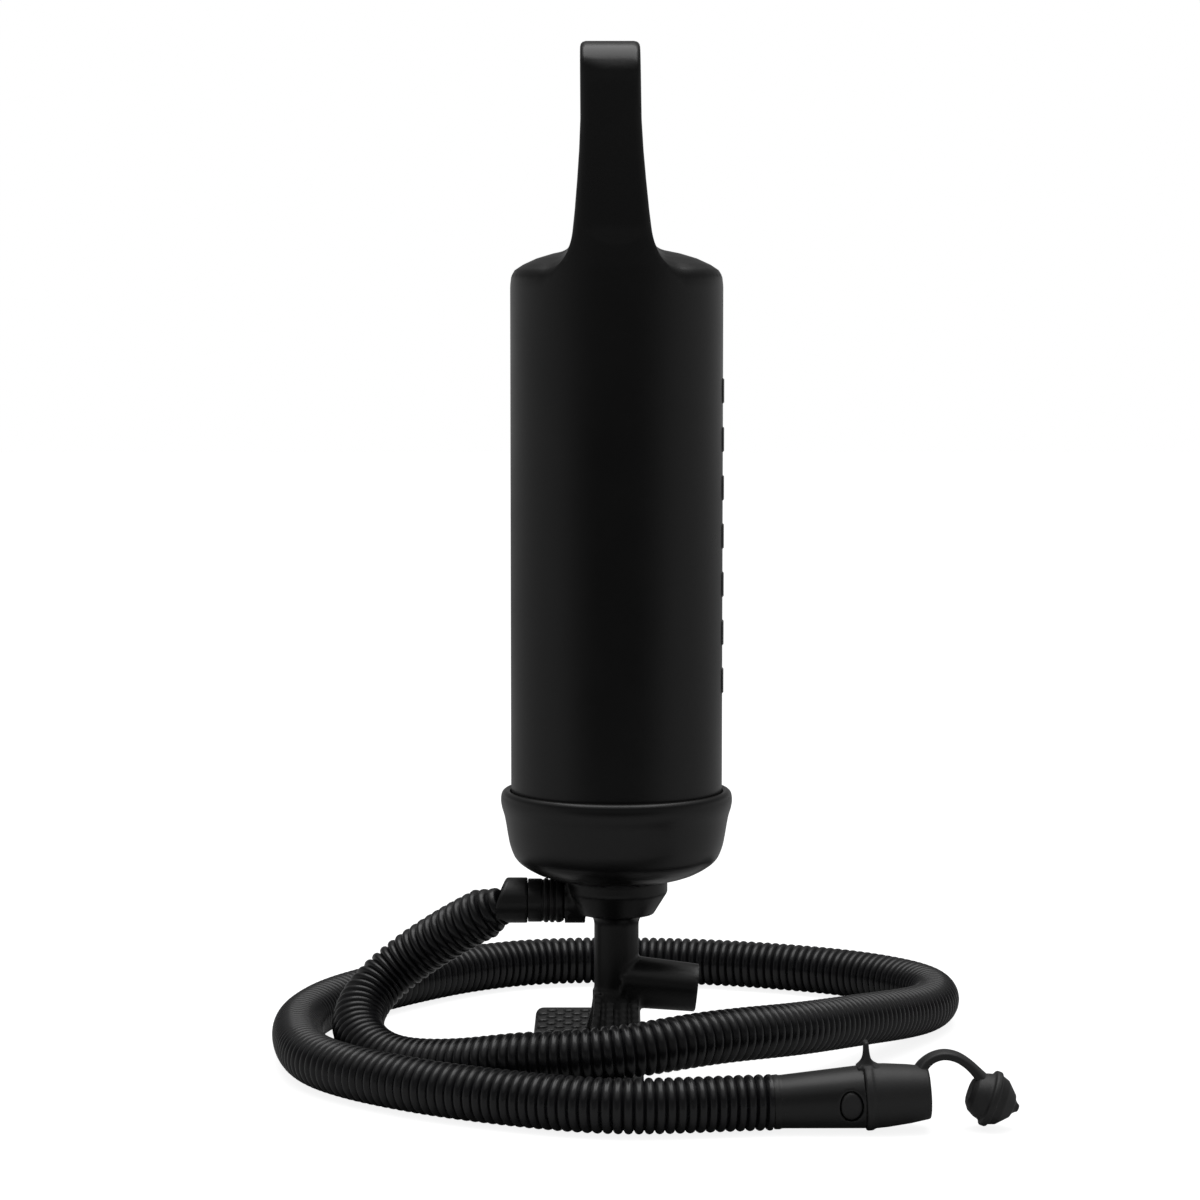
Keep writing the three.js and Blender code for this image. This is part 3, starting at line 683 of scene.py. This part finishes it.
def handle_field(p):
    """The loop stands a little to the left of the barrel's axis, the top bar more than the legs."""
    across, height = np.abs(p[..., 1]), p[..., 2]
    side = p[..., 0] + 2.0 + 1.2 * (height - SHOULDER) / (HANDLE_TOP - SHOULDER)
    lean = HANDLE_HALF - (height - SHOULDER) * 0.02
    outer = np.stack([across - lean + 19, height - HANDLE_TOP + 19], axis=-1)
    corner = np.linalg.norm(np.maximum(outer, 0), axis=-1)
    outside = corner + np.minimum(outer.max(axis=-1), 0) - 19
    half, low, high = HANDLE_HOLE
    hole = np.stack([across - half + 12, np.abs(height - (low + high) / 2) - (high - low) / 2 + 12], axis=-1)
    inside = np.linalg.norm(np.maximum(hole, 0), axis=-1) + np.minimum(hole.max(axis=-1), 0) - 12
    levels = np.array(TAPER)[::-1]
    width = np.interp(height, levels[:, 0], levels[:, 1])
    loop = smooth_max(outside, -inside, 3.5)
    loop = smooth_max(loop, np.abs(side) - width, 3.2)
    return np.maximum(loop, SHOULDER - 10 - height)


# %% Barrel: the bottle's field
DOME = [
    (0, 394.6),
    (20, 393.4),
    (30, 391.4),
    (38, 389),
    (44.5, 386),
    (48.4, 383.4),
    (50, 380.6),
    (50.5, 376),
]


def barrel_field(p):
    foot = float(barrel_low[2])
    bottle = turned_field(p, [(-60, foot), (BARREL_RADIUS, foot), *DOME[::-1], (-60, 394.6)])
    cone = np.hypot(p[..., 0], p[..., 1]) - BARREL_RADIUS + np.maximum(p[..., 2] - SHOULDER, 0) * 0.018
    handle = smooth_max(handle_field(p), cone, 2.0)
    fillet = 6 + 12 * np.clip((np.abs(p[..., 1]) - 20) / 30, 0, 1)
    whole = smooth_min(bottle, handle, fillet)
    whole = np.maximum(whole, cone)
    bore_top = SHOULDER - BARREL_WALL - 1
    bore = turned_field(p, [(-60, foot - 5), (BARREL_RADIUS - BARREL_WALL - 3, foot - 5),
                            (BARREL_RADIUS - BARREL_WALL - 3, bore_top - 5), (-60, bore_top)], 3.0)
    return np.maximum(whole, -bore)


barrel = moulded("barrel_shell", barrel_field, barrel_low, barrel_high, 1.6, satin_black, "barrel")
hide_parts("barrel")


# %% [markdown]
# The barrel's side carries a column of raised marks. Here they are plain rounded bars, which catch
# the light along the silhouette as a moulded pattern does.

# %% Raised bars
def raised_bar(level, height, reach, rise):
    """A pillow on the barrel's wall: a grid of points that rises from the wall and falls back."""
    rows, columns = 13, 17
    points = []
    for v in np.linspace(-1, 1, rows):
        for u in np.linspace(-1, 1, columns):
            edge = (1 - abs(u) ** 6) * (1 - abs(v) ** 6)
            radius = BARREL_RADIUS - 0.4 + (rise + 0.4) * min(1.0, 1.6 * edge)
            angle = MARK_TURN + u * reach / BARREL_RADIUS
            points.append((radius * math.cos(angle), radius * math.sin(angle), level + v * height / 2))
    faces = []
    for i in range(rows - 1):
        for j in range(columns - 1):
            k = i * columns + j
            faces.append((k, k + 1, k + columns + 1, k + columns))
    return points, faces


def raised_bars():
    points, faces = [], []
    for index in range(7):
        bar_points, bar_faces = raised_bar(188.5 + 23 * index, 13, 5.4, 0.6)
        faces += [tuple(len(points) + i for i in face) for face in bar_faces]
        points += bar_points
    return make_object("barrel_raised_bars", points, faces, satin_black, "barrel")


bars = raised_bars()

# %% [markdown]
# ## End cap
# The cap screws over the barrel's lower end. It is turned: a rounded lip at the top, a side that
# draws in gently and a floor that curves under to the rod. A turned mesh keeps its rings exact.

# %% End cap
cap_outside = [
    (16, 94.1),
    (33, 94.1),
    (38.5, 96),
    (43, 98.4),
    (46.7, 101),
    (48.9, 103.6),
    (50.2, 106.6),
    (51.3, 110),
    (52.2, 115),
    (53, 120),
    (53.8, 124),
    (54.9, 127.4),
    (55.4, 130),
    (55.4, 132.4),
    (54.9, 134.6),
    (53.6, 135.8),
    (52.2, 136),
    (50.8, 135.4),
    (50.75, 116),
    (46, 115.6),
    (46, 108),
    (40, 101.5),
    (22.5, 98.5),
    (22.5, 113),
    (16.6, 113),
    (16.6, 97.6),
    (14.9, 97.4),
    (14.9, 94.6),
]
cap = turned_piece("end_cap_shell", rounded_profile(cap_outside, 1.4, 3), satin_black, "barrel", 144)
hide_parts("end_cap")

# %% [markdown]
# ## Foot
# The foot is one moulding too. A flat plate lies on the floor, a slim column rises from its edge
# with thin fins to brace it, and the housing on top carries both spigots: the lower one to the
# right draws air in, the upper one to the left feeds the hose.

# %% Foot: fields of its parts
FOOT_TOP = 10.0
INLET_TILT = math.radians(5.7)
inlet_axes = axes_along((math.cos(INLET_TILT), 0, -math.sin(INLET_TILT)))
outlet_axes = axes_along((-1, 0, 0))
INLET_AT = (0, 0, 43.2)
OUTLET_AT = (0, 0, 82.0)


def plate_field(p):
    plate = block_field(p, (-41, -100, -6), (11.5, 100, FOOT_TOP), 4.0)
    plate = smooth_max(plate, -p[..., 2], 0.6)
    hollow = block_field(p, (-38.5, -97.5, -9), (9, 97.5, FOOT_TOP - 2.6), 3.0)
    ribs = np.minimum.reduce([np.abs(p[..., 1] - y) - 1.25 for y in (-60, -30, 30, 60)])
    core = np.hypot(p[..., 0], p[..., 1]) - 11
    kept = np.maximum(hollow, -np.minimum(ribs, core))
    return np.maximum(plate, -kept)


def fin_field(p):
    """The column flares to the plate, with thin ridges on the flare, front and back."""
    reach = np.abs(p[..., 1])
    height = p[..., 2]
    rise = np.clip((36 - height) / 26, 0, 1.2)
    flare = np.hypot(p[..., 0] + 1.6 * rise**2, p[..., 1]) - 10 - 4.2 * rise**2
    flare = np.maximum(flare * 0.85, np.abs(height - 20) - 17)
    slope = outline_distance([(0, 0), (50, 0), (46, FOOT_TOP), (21, 17), (10.2, 38), (0, 38)], reach, height)
    places = ((-9.2, -5.0), (-3.2, -1.4), (3.2, 0.2), (9.0, 1.4))
    webs = [np.maximum(slope, np.abs(p[..., 0] - x - shift * rise**2) - 1.5) for x, shift in places]
    wall = np.maximum(slope + 1.3, np.abs(p[..., 0] + 0.1 + 1.8 * rise**2) - 8.6 - 3.0 * rise**2)
    left_outline = [(-30, 0), (0, 0), (0, 37), (-10, 37), (-14, 22), (-24, FOOT_TOP)]
    left = outline_distance(left_outline, p[..., 0], height)
    webs.append(np.maximum(left, reach - 3.6))
    return smooth_min(smooth_min(flare, wall, 2.4), np.minimum.reduce(webs), 2.2)


def column_field(p):
    lower = turned_field(p, [(-30, 2), (9.7, 2), (9.7, 78), (-30, 78)], 1.0)
    housing = turned_field(
        p, [(-30, 74), (17.5, 76.6), (23.7, 86.6), (23.7, 92.2), (-30, 92.2)], 0.8)
    return smooth_min(lower, housing, 5.0)


def spigot_fields(p):
    along_inlet = moved(p, INLET_AT, inlet_axes)
    inlet = turned_field(along_inlet, [(-30, 3), (11.9, 3), (11.7, 14), (10.9, 38.4), (-30, 38.4)], 0.6)
    along_outlet = moved(p, OUTLET_AT, outlet_axes)
    outlet = rod_field(along_outlet, 8.4, 15, 43.5)
    collar = rod_field(along_outlet, 10.9, 15, 24.8)
    return inlet, smooth_min(outlet, collar, 0.6), along_inlet, along_outlet


# %% Foot: the whole field
def foot_field(p):
    inlet, outlet, along_inlet, along_outlet = spigot_fields(p)
    column = smooth_min(column_field(p), inlet, 1.6)
    column = smooth_min(column, outlet, 1.4)
    stand = smooth_min(smooth_min(column, fin_field(p), 2.2), plate_field(p), 3.0)
    ways = np.minimum.reduce([
        rod_field(along_inlet, 8.9, 10, 45),
        rod_field(along_inlet, 6.4, -3, 12),
        rod_field(p, 6.8, 36, 72),
        rod_field(p, 16.5, 77, 87),
        rod_field(p, 20.3, 86.3, 99),
        rod_field(along_outlet, 6.4, 18, 50),
    ])
    return np.maximum(smooth_max(stand, -ways, 0.5), -p[..., 2])


foot = moulded("foot_stand_shell", foot_field, foot_low, foot_high, 1.25, foot_black, "base")
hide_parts("foot_stand")


# %% [markdown]
# Rows of low round studs keep a shoe from slipping on the plate. Each is a flattened dome, and the
# rows are staggered so that no straight groove runs across.

# %% Foot: anti-slip studs
def dome(cx, cy, base, rx, ry, rise, sides=12, rings=4):
    points, faces = [], []
    for ring in range(rings):
        lift = math.sin(ring / rings * math.pi / 2)
        shrink = math.cos(ring / rings * math.pi / 2) ** 0.6
        for side in range(sides):
            angle = 2 * math.pi * side / sides
            points.append((cx + rx * shrink * math.cos(angle), cy + ry * shrink * math.sin(angle),
                           base + rise * lift))
    points.append((cx, cy, base + rise))
    for ring in range(rings - 1):
        for side in range(sides):
            a, b = ring * sides + side, ring * sides + (side + 1) % sides
            faces.append((a, b, b + sides, a + sides))
    top = (rings - 1) * sides
    faces += [(top + side, top + (side + 1) % sides, rings * sides) for side in range(sides)]
    faces.append(tuple(reversed(range(sides))))
    return points, faces


def tread():
    points, faces = [], []
    row_pitch, stud_pitch = 8.0, 8.4
    for row in range(-11, 12):
        y = row * row_pitch
        for index in range(6):
            x = -36.6 + index * stud_pitch + (row % 2) * stud_pitch / 2
            under_column = abs(y) < 50 and x > -17 - 4 * (abs(y) < 6)
            if under_column or x > 7.5:
                continue
            stud_points, stud_faces = dome(x, y, FOOT_TOP - 0.3, 2.9, 2.9, 1.5)
            faces += [tuple(len(points) + i for i in face) for face in stud_faces]
            points += stud_points
    return make_object("foot_tread_studs", points, faces, foot_black, "base")


studs = tread()

# %% [markdown]
# ## Hose nut and cuff
# A ridged nut grips the hose on its spigot, with the hose's own cuff beside it. The nut is turned.
# The cuff is a field, since its far end is cut at a slant.


# %% Hose nut
near, far = -float(nut_high[0]), -float(nut_low[0])
nut_radius = float(nut_high[2] - nut_low[2]) / 2
nut_profile = [(8.7, near), (nut_radius - 1.2, near), (nut_radius - 0.4, near + 1)]
for ridge in range(3):
    level = near + 2 + ridge * 2.9
    nut_profile += [
        (nut_radius, level),
        (nut_radius, level + 1.5),
        (nut_radius - 0.8, level + 2.0),
        (nut_radius - 0.8, level + 2.5),
    ]
nut_profile += [(nut_radius - 0.3, near + 11), (nut_radius - 0.3, far), (8.7, far)]
nut = turned_piece(
    "hose_nut_shell",
    rounded_profile(nut_profile, 0.5, 3),
    nozzle_black,
    "hose_nut",
    frame_at=(OUTLET_AT, outlet_axes),
)
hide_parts("hose_nut")

# %% Hose cuff
def cuff_field(p):
    """A plain sleeve. Its far end is cut back at the top, where the hose bends away downwards."""
    straight = moved(p, OUTLET_AT, outlet_axes)
    sleeve = turned_field(straight, [(-30, 43.3), (10.4, 43.3), (10.4, 57.4), (-30, 57.4)], 0.5)
    slant = -0.923 * p[..., 0] + 0.385 * p[..., 2] - 84.6
    sleeve = smooth_max(sleeve, slant, 1.2)
    spigot_room = rod_field(straight, 8.7, 30, 43.9)
    hose_room = rod_field(straight, 8.9, 44.5, 70)
    return smooth_max(sleeve, -np.minimum(spigot_room, hose_room), 0.4)


cuff = moulded("hose_cuff_shell", cuff_field, (-60, -12, 70), (-42, 12, 94), 0.7, nozzle_black, "base")
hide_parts("hose_cuff")

# %% [markdown]
# ## Nozzle
# The hose ends in a tapered cuff with an oval window. A soft adaptor snaps into it: its lug shows
# in the window, its flange stops it, and a lift tab stands up from the flange. All of it lies on
# one axis that tips up a little, because the flange is wider than the hose.

# %% Nozzle: its frame
NOZZLE_AT = (68, -126.2, 12.8)
NOZZLE_TILT = math.radians(3.2)
NOZZLE_HEADING = math.radians(2)
nozzle_direction = (
    math.cos(NOZZLE_TILT) * math.cos(NOZZLE_HEADING),
    math.cos(NOZZLE_TILT) * math.sin(NOZZLE_HEADING),
    math.sin(NOZZLE_TILT),
)
nozzle_axes = axes_along(nozzle_direction)
WINDOW = (1.5, 35.2)


def oval_field(p, half_x, half_z):
    """An oval hole or lug on the near side: p[0] is down and p[2] along the nozzle."""
    x = (p[..., 0] - WINDOW[0]) / half_x
    z = (p[..., 2] - WINDOW[1]) / half_z
    return (np.hypot(x, z) - 1) * min(half_x, half_z)


def cuff_cone_field(p):
    p = moved(p, NOZZLE_AT, nozzle_axes)
    shell = turned_field(p, [(-30, 1.8), (11.0, 1.8), (13.4, 41.4), (-30, 41.4)], 0.6)
    shell = smooth_min(shell, turned_field(p, [(-30, 1.6), (11.6, 1.6), (11.7, 3.6), (-30, 3.6)], 0.4), 0.8)
    room = np.minimum(rod_field(p, 7.5, -3, 27), rod_field(p, 10.8, 26, 50))
    window = np.maximum(oval_field(p, 6.9, 5.2), p[..., 1] + 4)
    return smooth_max(smooth_max(shell, -room, 0.4), -window, 1.0)


cone = moulded(
    "nozzle_cuff_shell", cuff_cone_field, (66, -144, -2), (113, -108, 32), 0.75, nozzle_black, "base")
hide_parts("nozzle_cuff")


# %% Nozzle: soft adaptor
def adaptor_field(p):
    p = moved(p, NOZZLE_AT, nozzle_axes)
    sleeve = turned_field(
        p, [(-30, 43.4), (13.6, 43.4), (13.2, 52), (12.2, 62), (10.9, 70.2), (-30, 70.2)], 0.9)
    flange = turned_field(p, [(-30, 42.9), (14.3, 42.9), (14.3, 44.6), (-30, 44.6)], 0.7)
    spigot = rod_field(p, 10.4, 28, 44)
    lug = smooth_max(oval_field(p, 6.5, 4.8), np.abs(np.hypot(p[..., 0], p[..., 1]) - 10.5) - 2.6, 1.2)
    lug = np.maximum(lug, p[..., 1] + 4)
    height = -p[..., 0] - 14
    half_width = 1.0 + 3.6 * np.exp(-np.maximum(height, 0) / 2.2)
    tab = smooth_max(np.abs(p[..., 2] - 44) - half_width, np.abs(p[..., 1]) - 3.2 - half_width * 0.4, 1.0)
    tab = smooth_max(tab, np.maximum(height - 11, -2 - height), 0.8)
    body = smooth_min(smooth_min(sleeve, flange, 1.6), np.minimum(spigot, lug), 0.3)
    body = smooth_min(body, tab, 1.0)
    bore = turned_field(p, [(-30, 20), (7.5, 20), (7.5, 57), (9.3, 80), (-30, 80)])
    return smooth_max(body, -bore, 0.8)


adaptor = moulded(
    "nozzle_adaptor_shell", adaptor_field, (94, -144, -3), (143, -106, 44), 0.75, soft_grey, "base")
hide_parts("nozzle_adaptor")


# %% [markdown]
# ## Plug and strap
# The plug hangs on a soft strap that springs out in an arch. The strap is a flat band swept along a
# short curve; the plug is a stopper with a sealing bead and a pinched tip.

# %% Strap
strap_path = evenly(curve_through(np.array([
    (134.6, -123.4, 26.2),
    (136.6, -122.9, 29.3),
    (140.4, -122.6, 32.2),
    (145.5, -122.6, 33.6),
    (151, -122.6, 32.6),
    (156, -122.6, 29.6),
    (160.2, -122.5, 25.6),
    (163, -122.5, 22.4),
], float)), 0.9)


def strap_section(share):
    """A flat band with rounded edges, wider where it joins at either end."""
    flare = 1 + 0.35 * abs(2 * share - 1) ** 4
    angles = np.arange(20) * 2 * np.pi / 20
    wide = 3.5 * flare * np.sign(np.cos(angles)) * np.abs(np.cos(angles)) ** 0.45
    thick = 1.9 * flare * np.sign(np.sin(angles)) * np.abs(np.sin(angles)) ** 0.7
    return np.stack([wide, thick], axis=-1)


strap_sections = [strap_section(s) for s in np.linspace(0, 1, len(strap_path))]
strap_points = swept(strap_path, strap_sections)
strap_faces = ring_faces(len(strap_path), 20, False)
strap_faces.append(tuple(reversed(range(20))))
strap_faces.append(tuple(range(len(strap_points) - 20, len(strap_points))))
strap = make_object("plug_strap_band", strap_points, [f[::-1] for f in strap_faces], soft_grey, "plug", 60)
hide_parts("plug_strap")

# %% Plug
PLUG_AT = (167.5, -122.5, 13.4)
plug_axes = axes_along((math.cos(math.radians(20)), 0, -math.sin(math.radians(20))))


def plug_field(p):
    """A stopper with a rounded end, a sealing bead and a nose that ends in a pinched pull tip."""
    p = moved(p, PLUG_AT, plug_axes)
    stopper = turned_field(
        p, [(-30, -10.4), (5.4, -10.4), (7.8, -8.6), (9.4, -5.6), (10.4, -2), (-30, -2)], 0.7)
    bead = turned_field(p, [(-30, -2.2), (11.9, -1.7), (11.9, -0.2), (-30, 0.6)], 0.8)
    nose = turned_field(p, [(-30, 0), (10.2, 0.8), (9.2, 3.6), (4.8, 8), (-30, 8)], 1.2)
    tip = turned_field(p, [(-30, 4), (5.4, 4), (1.2, 11.6), (-30, 11.6)], 0.6)
    pinch = smooth_max(np.abs(p[..., 1]) - 3.2, tip, 1)
    return smooth_min(smooth_min(stopper, bead, 1.4), smooth_min(nose, pinch, 2.4), 1.0)


plug = moulded("nozzle_plug_shell", plug_field, (151, -138, -2), (184, -107, 30), 0.6, soft_grey, "plug")
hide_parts("nozzle_plug")

# %% [markdown]
# ## Rod
# When the barrel is pulled up the rod shows, so it gets a finely turned tube. The parts that stay
# inside the barrel keep their CAD shape and only take a finish.

# %% Rod and inner parts
rod_low, rod_high = box_mm("rod_outer_tube")
rod_profile = [
    (18, rod_low[2]),
    (18, rod_low[2] + 2),
    (13, rod_low[2] + 2),
    (13, rod_high[2]),
    (11.6, rod_high[2]),
    (11.6, rod_low[2]),
]
rod = turned_piece("rod_tube_shell", rounded_profile(rod_profile, 0.3, 2), rod_grey, "base", 96)
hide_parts("rod_outer_tube")

INNER_FINISHES = {
    "rod_ring_nut": satin_black,
    "rod_inner_tube": rod_grey,
    "rod_bush": piston_white,
    "piston_body": piston_white,
    "piston_cover": piston_white,
    "rod_seal": seal_rubber,
    "barrel_gasket": seal_rubber,
    "intake_ring_lower": seal_rubber,
    "intake_ring_upper": seal_rubber,
    "piston_seal_lower": seal_rubber,
    "piston_seal_upper": seal_rubber,
    "intake_valve_upper": seal_rubber,
    "intake_valve_lower": seal_rubber,
    "outlet_valve_upper": seal_rubber,
    "outlet_valve_lower": seal_rubber,
    **{f"piston_screw_{number}": screw_steel for number in range(1, 5)},
}
for node, finish in INNER_FINISHES.items():
    slots = nodes[node].material_slots
    for slot in slots:
        slot.material = finish
print(len(INNER_FINISHES), "inner parts finished")

# %% [markdown]
# ## The hose's pieces
# The cuffs, the adaptor, the strap and the plug are the pieces on the hose.

# %% [markdown]
# ## Floor and light
# The pump stands on a plain pale floor in a white studio. One big soft light hangs overhead. The
# room is bright at the sides and behind, which draws the pale rims of the barrel, and dark on the
# camera's side, which the barrel's front mirrors.


# %% Floor
def pale_floor():
    corners = [(-4, -0.55, 0), (4, -0.55, 0), (4, 8, 0), (-4, 8, 0)]
    mesh = bpy.data.meshes.new("floor")
    mesh.from_pydata(corners, [], [(0, 1, 2, 3)])
    floor = bpy.data.objects.new("floor", mesh)
    bpy.context.collection.objects.link(floor)
    material = bpy.data.materials.new("pale_floor")
    material.use_nodes = True
    tree = material.node_tree
    shader = tree.nodes["Principled BSDF"]
    tone = noise_node(tree, 3.0, detail=2)
    link(tree, mix_colour(tree, tone, (0.41, 0.41, 0.41), (0.43, 0.43, 0.43)), shader.inputs["Base Color"])
    shader.inputs["Roughness"].default_value = 0.9
    shader.inputs["Specular IOR Level"].default_value = 0.0
    path = tree.nodes.new("ShaderNodeLightPath")
    glow = mix_colour(tree, path.outputs["Is Camera Ray"], (0, 0, 0), (0.86, 0.86, 0.86))
    link(tree, glow, shader.inputs["Emission Color"])
    shader.inputs["Emission Strength"].default_value = 1.0
    mesh.materials.append(material)


pale_floor()


# %% Overhead light
def soft_light(name, place, target, width, height, radiance):
    """A rectangle of light. An area light's power is its radiance times its area times pi."""
    data = bpy.data.lights.new(name, "AREA")
    data.shape = "RECTANGLE"
    data.size = width
    data.size_y = height
    data.energy = radiance * width * height * math.pi
    light = bpy.data.objects.new(name, data)
    light.location = place
    light.rotation_euler = (Vector(target) - Vector(place)).to_track_quat("-Z", "Y").to_euler()
    bpy.context.collection.objects.link(light)


soft_light("overhead", (0, 0.15, 1.9), (0, 0.15, 0), 1.9, 1.5, 1.9)


# %% Room
def ramp_node(tree, factor, stops):
    node = tree.nodes.new("ShaderNodeValToRGB")
    elements = node.color_ramp.elements
    while len(elements) < len(stops):
        elements.new(0.5)
    for element, (place, value) in zip(elements, stops):
        element.position = place
        element.color = (value, value, value, 1)
    link(tree, factor, node.inputs["Fac"])
    return node.outputs["Color"]


def room_light():
    """White to the camera. Mirrored rays see a room that is dark in front and bright elsewhere."""
    world = bpy.data.worlds.new("studio")
    bpy.context.scene.world = world
    world.use_nodes = True
    tree = world.node_tree
    tree.nodes.clear()
    output = tree.nodes.new("ShaderNodeOutputWorld")
    background = tree.nodes.new("ShaderNodeBackground")
    place = tree.nodes.new("ShaderNodeTexCoord")
    split = tree.nodes.new("ShaderNodeSeparateXYZ")
    link(tree, place.outputs["Generated"], split.inputs[0])
    back = math_node(tree, "MULTIPLY", math_node(tree, "ADD", split.outputs["Y"], 1.0), 0.5)
    around = ramp_node(tree, back, [(0.03, 0.0), (0.1, 0.08), (0.25, 0.25), (0.5, 0.36), (1.0, 0.34)])
    up = math_node(tree, "MULTIPLY", math_node(tree, "ADD", split.outputs["Z"], 1.0), 0.5)
    above = ramp_node(
        tree,
        up,
        [(0.3, 0.1), (0.5, 0.0), (0.52, 0.04), (0.545, 0.2), (0.62, 0.14), (0.74, 0.02), (0.9, 0.5)],
    )
    fading = math_node(tree, "MULTIPLY", around, ramp_node(tree, up, [(0.52, 1.0), (0.62, 0.4)]))
    mirrored = math_node(tree, "MAXIMUM", fading, above)
    path = tree.nodes.new("ShaderNodeLightPath")
    diffuse = math_node(tree, "MULTIPLY", path.outputs["Is Diffuse Ray"], 0.34)
    lit = math_node(tree, "MAXIMUM", mirrored, diffuse)
    seen = math_node(tree, "MAXIMUM", lit, path.outputs["Is Camera Ray"])
    link(tree, seen, background.inputs["Strength"])
    background.inputs["Color"].default_value = (1, 1, 1, 1)
    link(tree, background.outputs[0], output.inputs["Surface"])


room_light()
bpy.context.scene.view_settings.view_transform = "Standard"
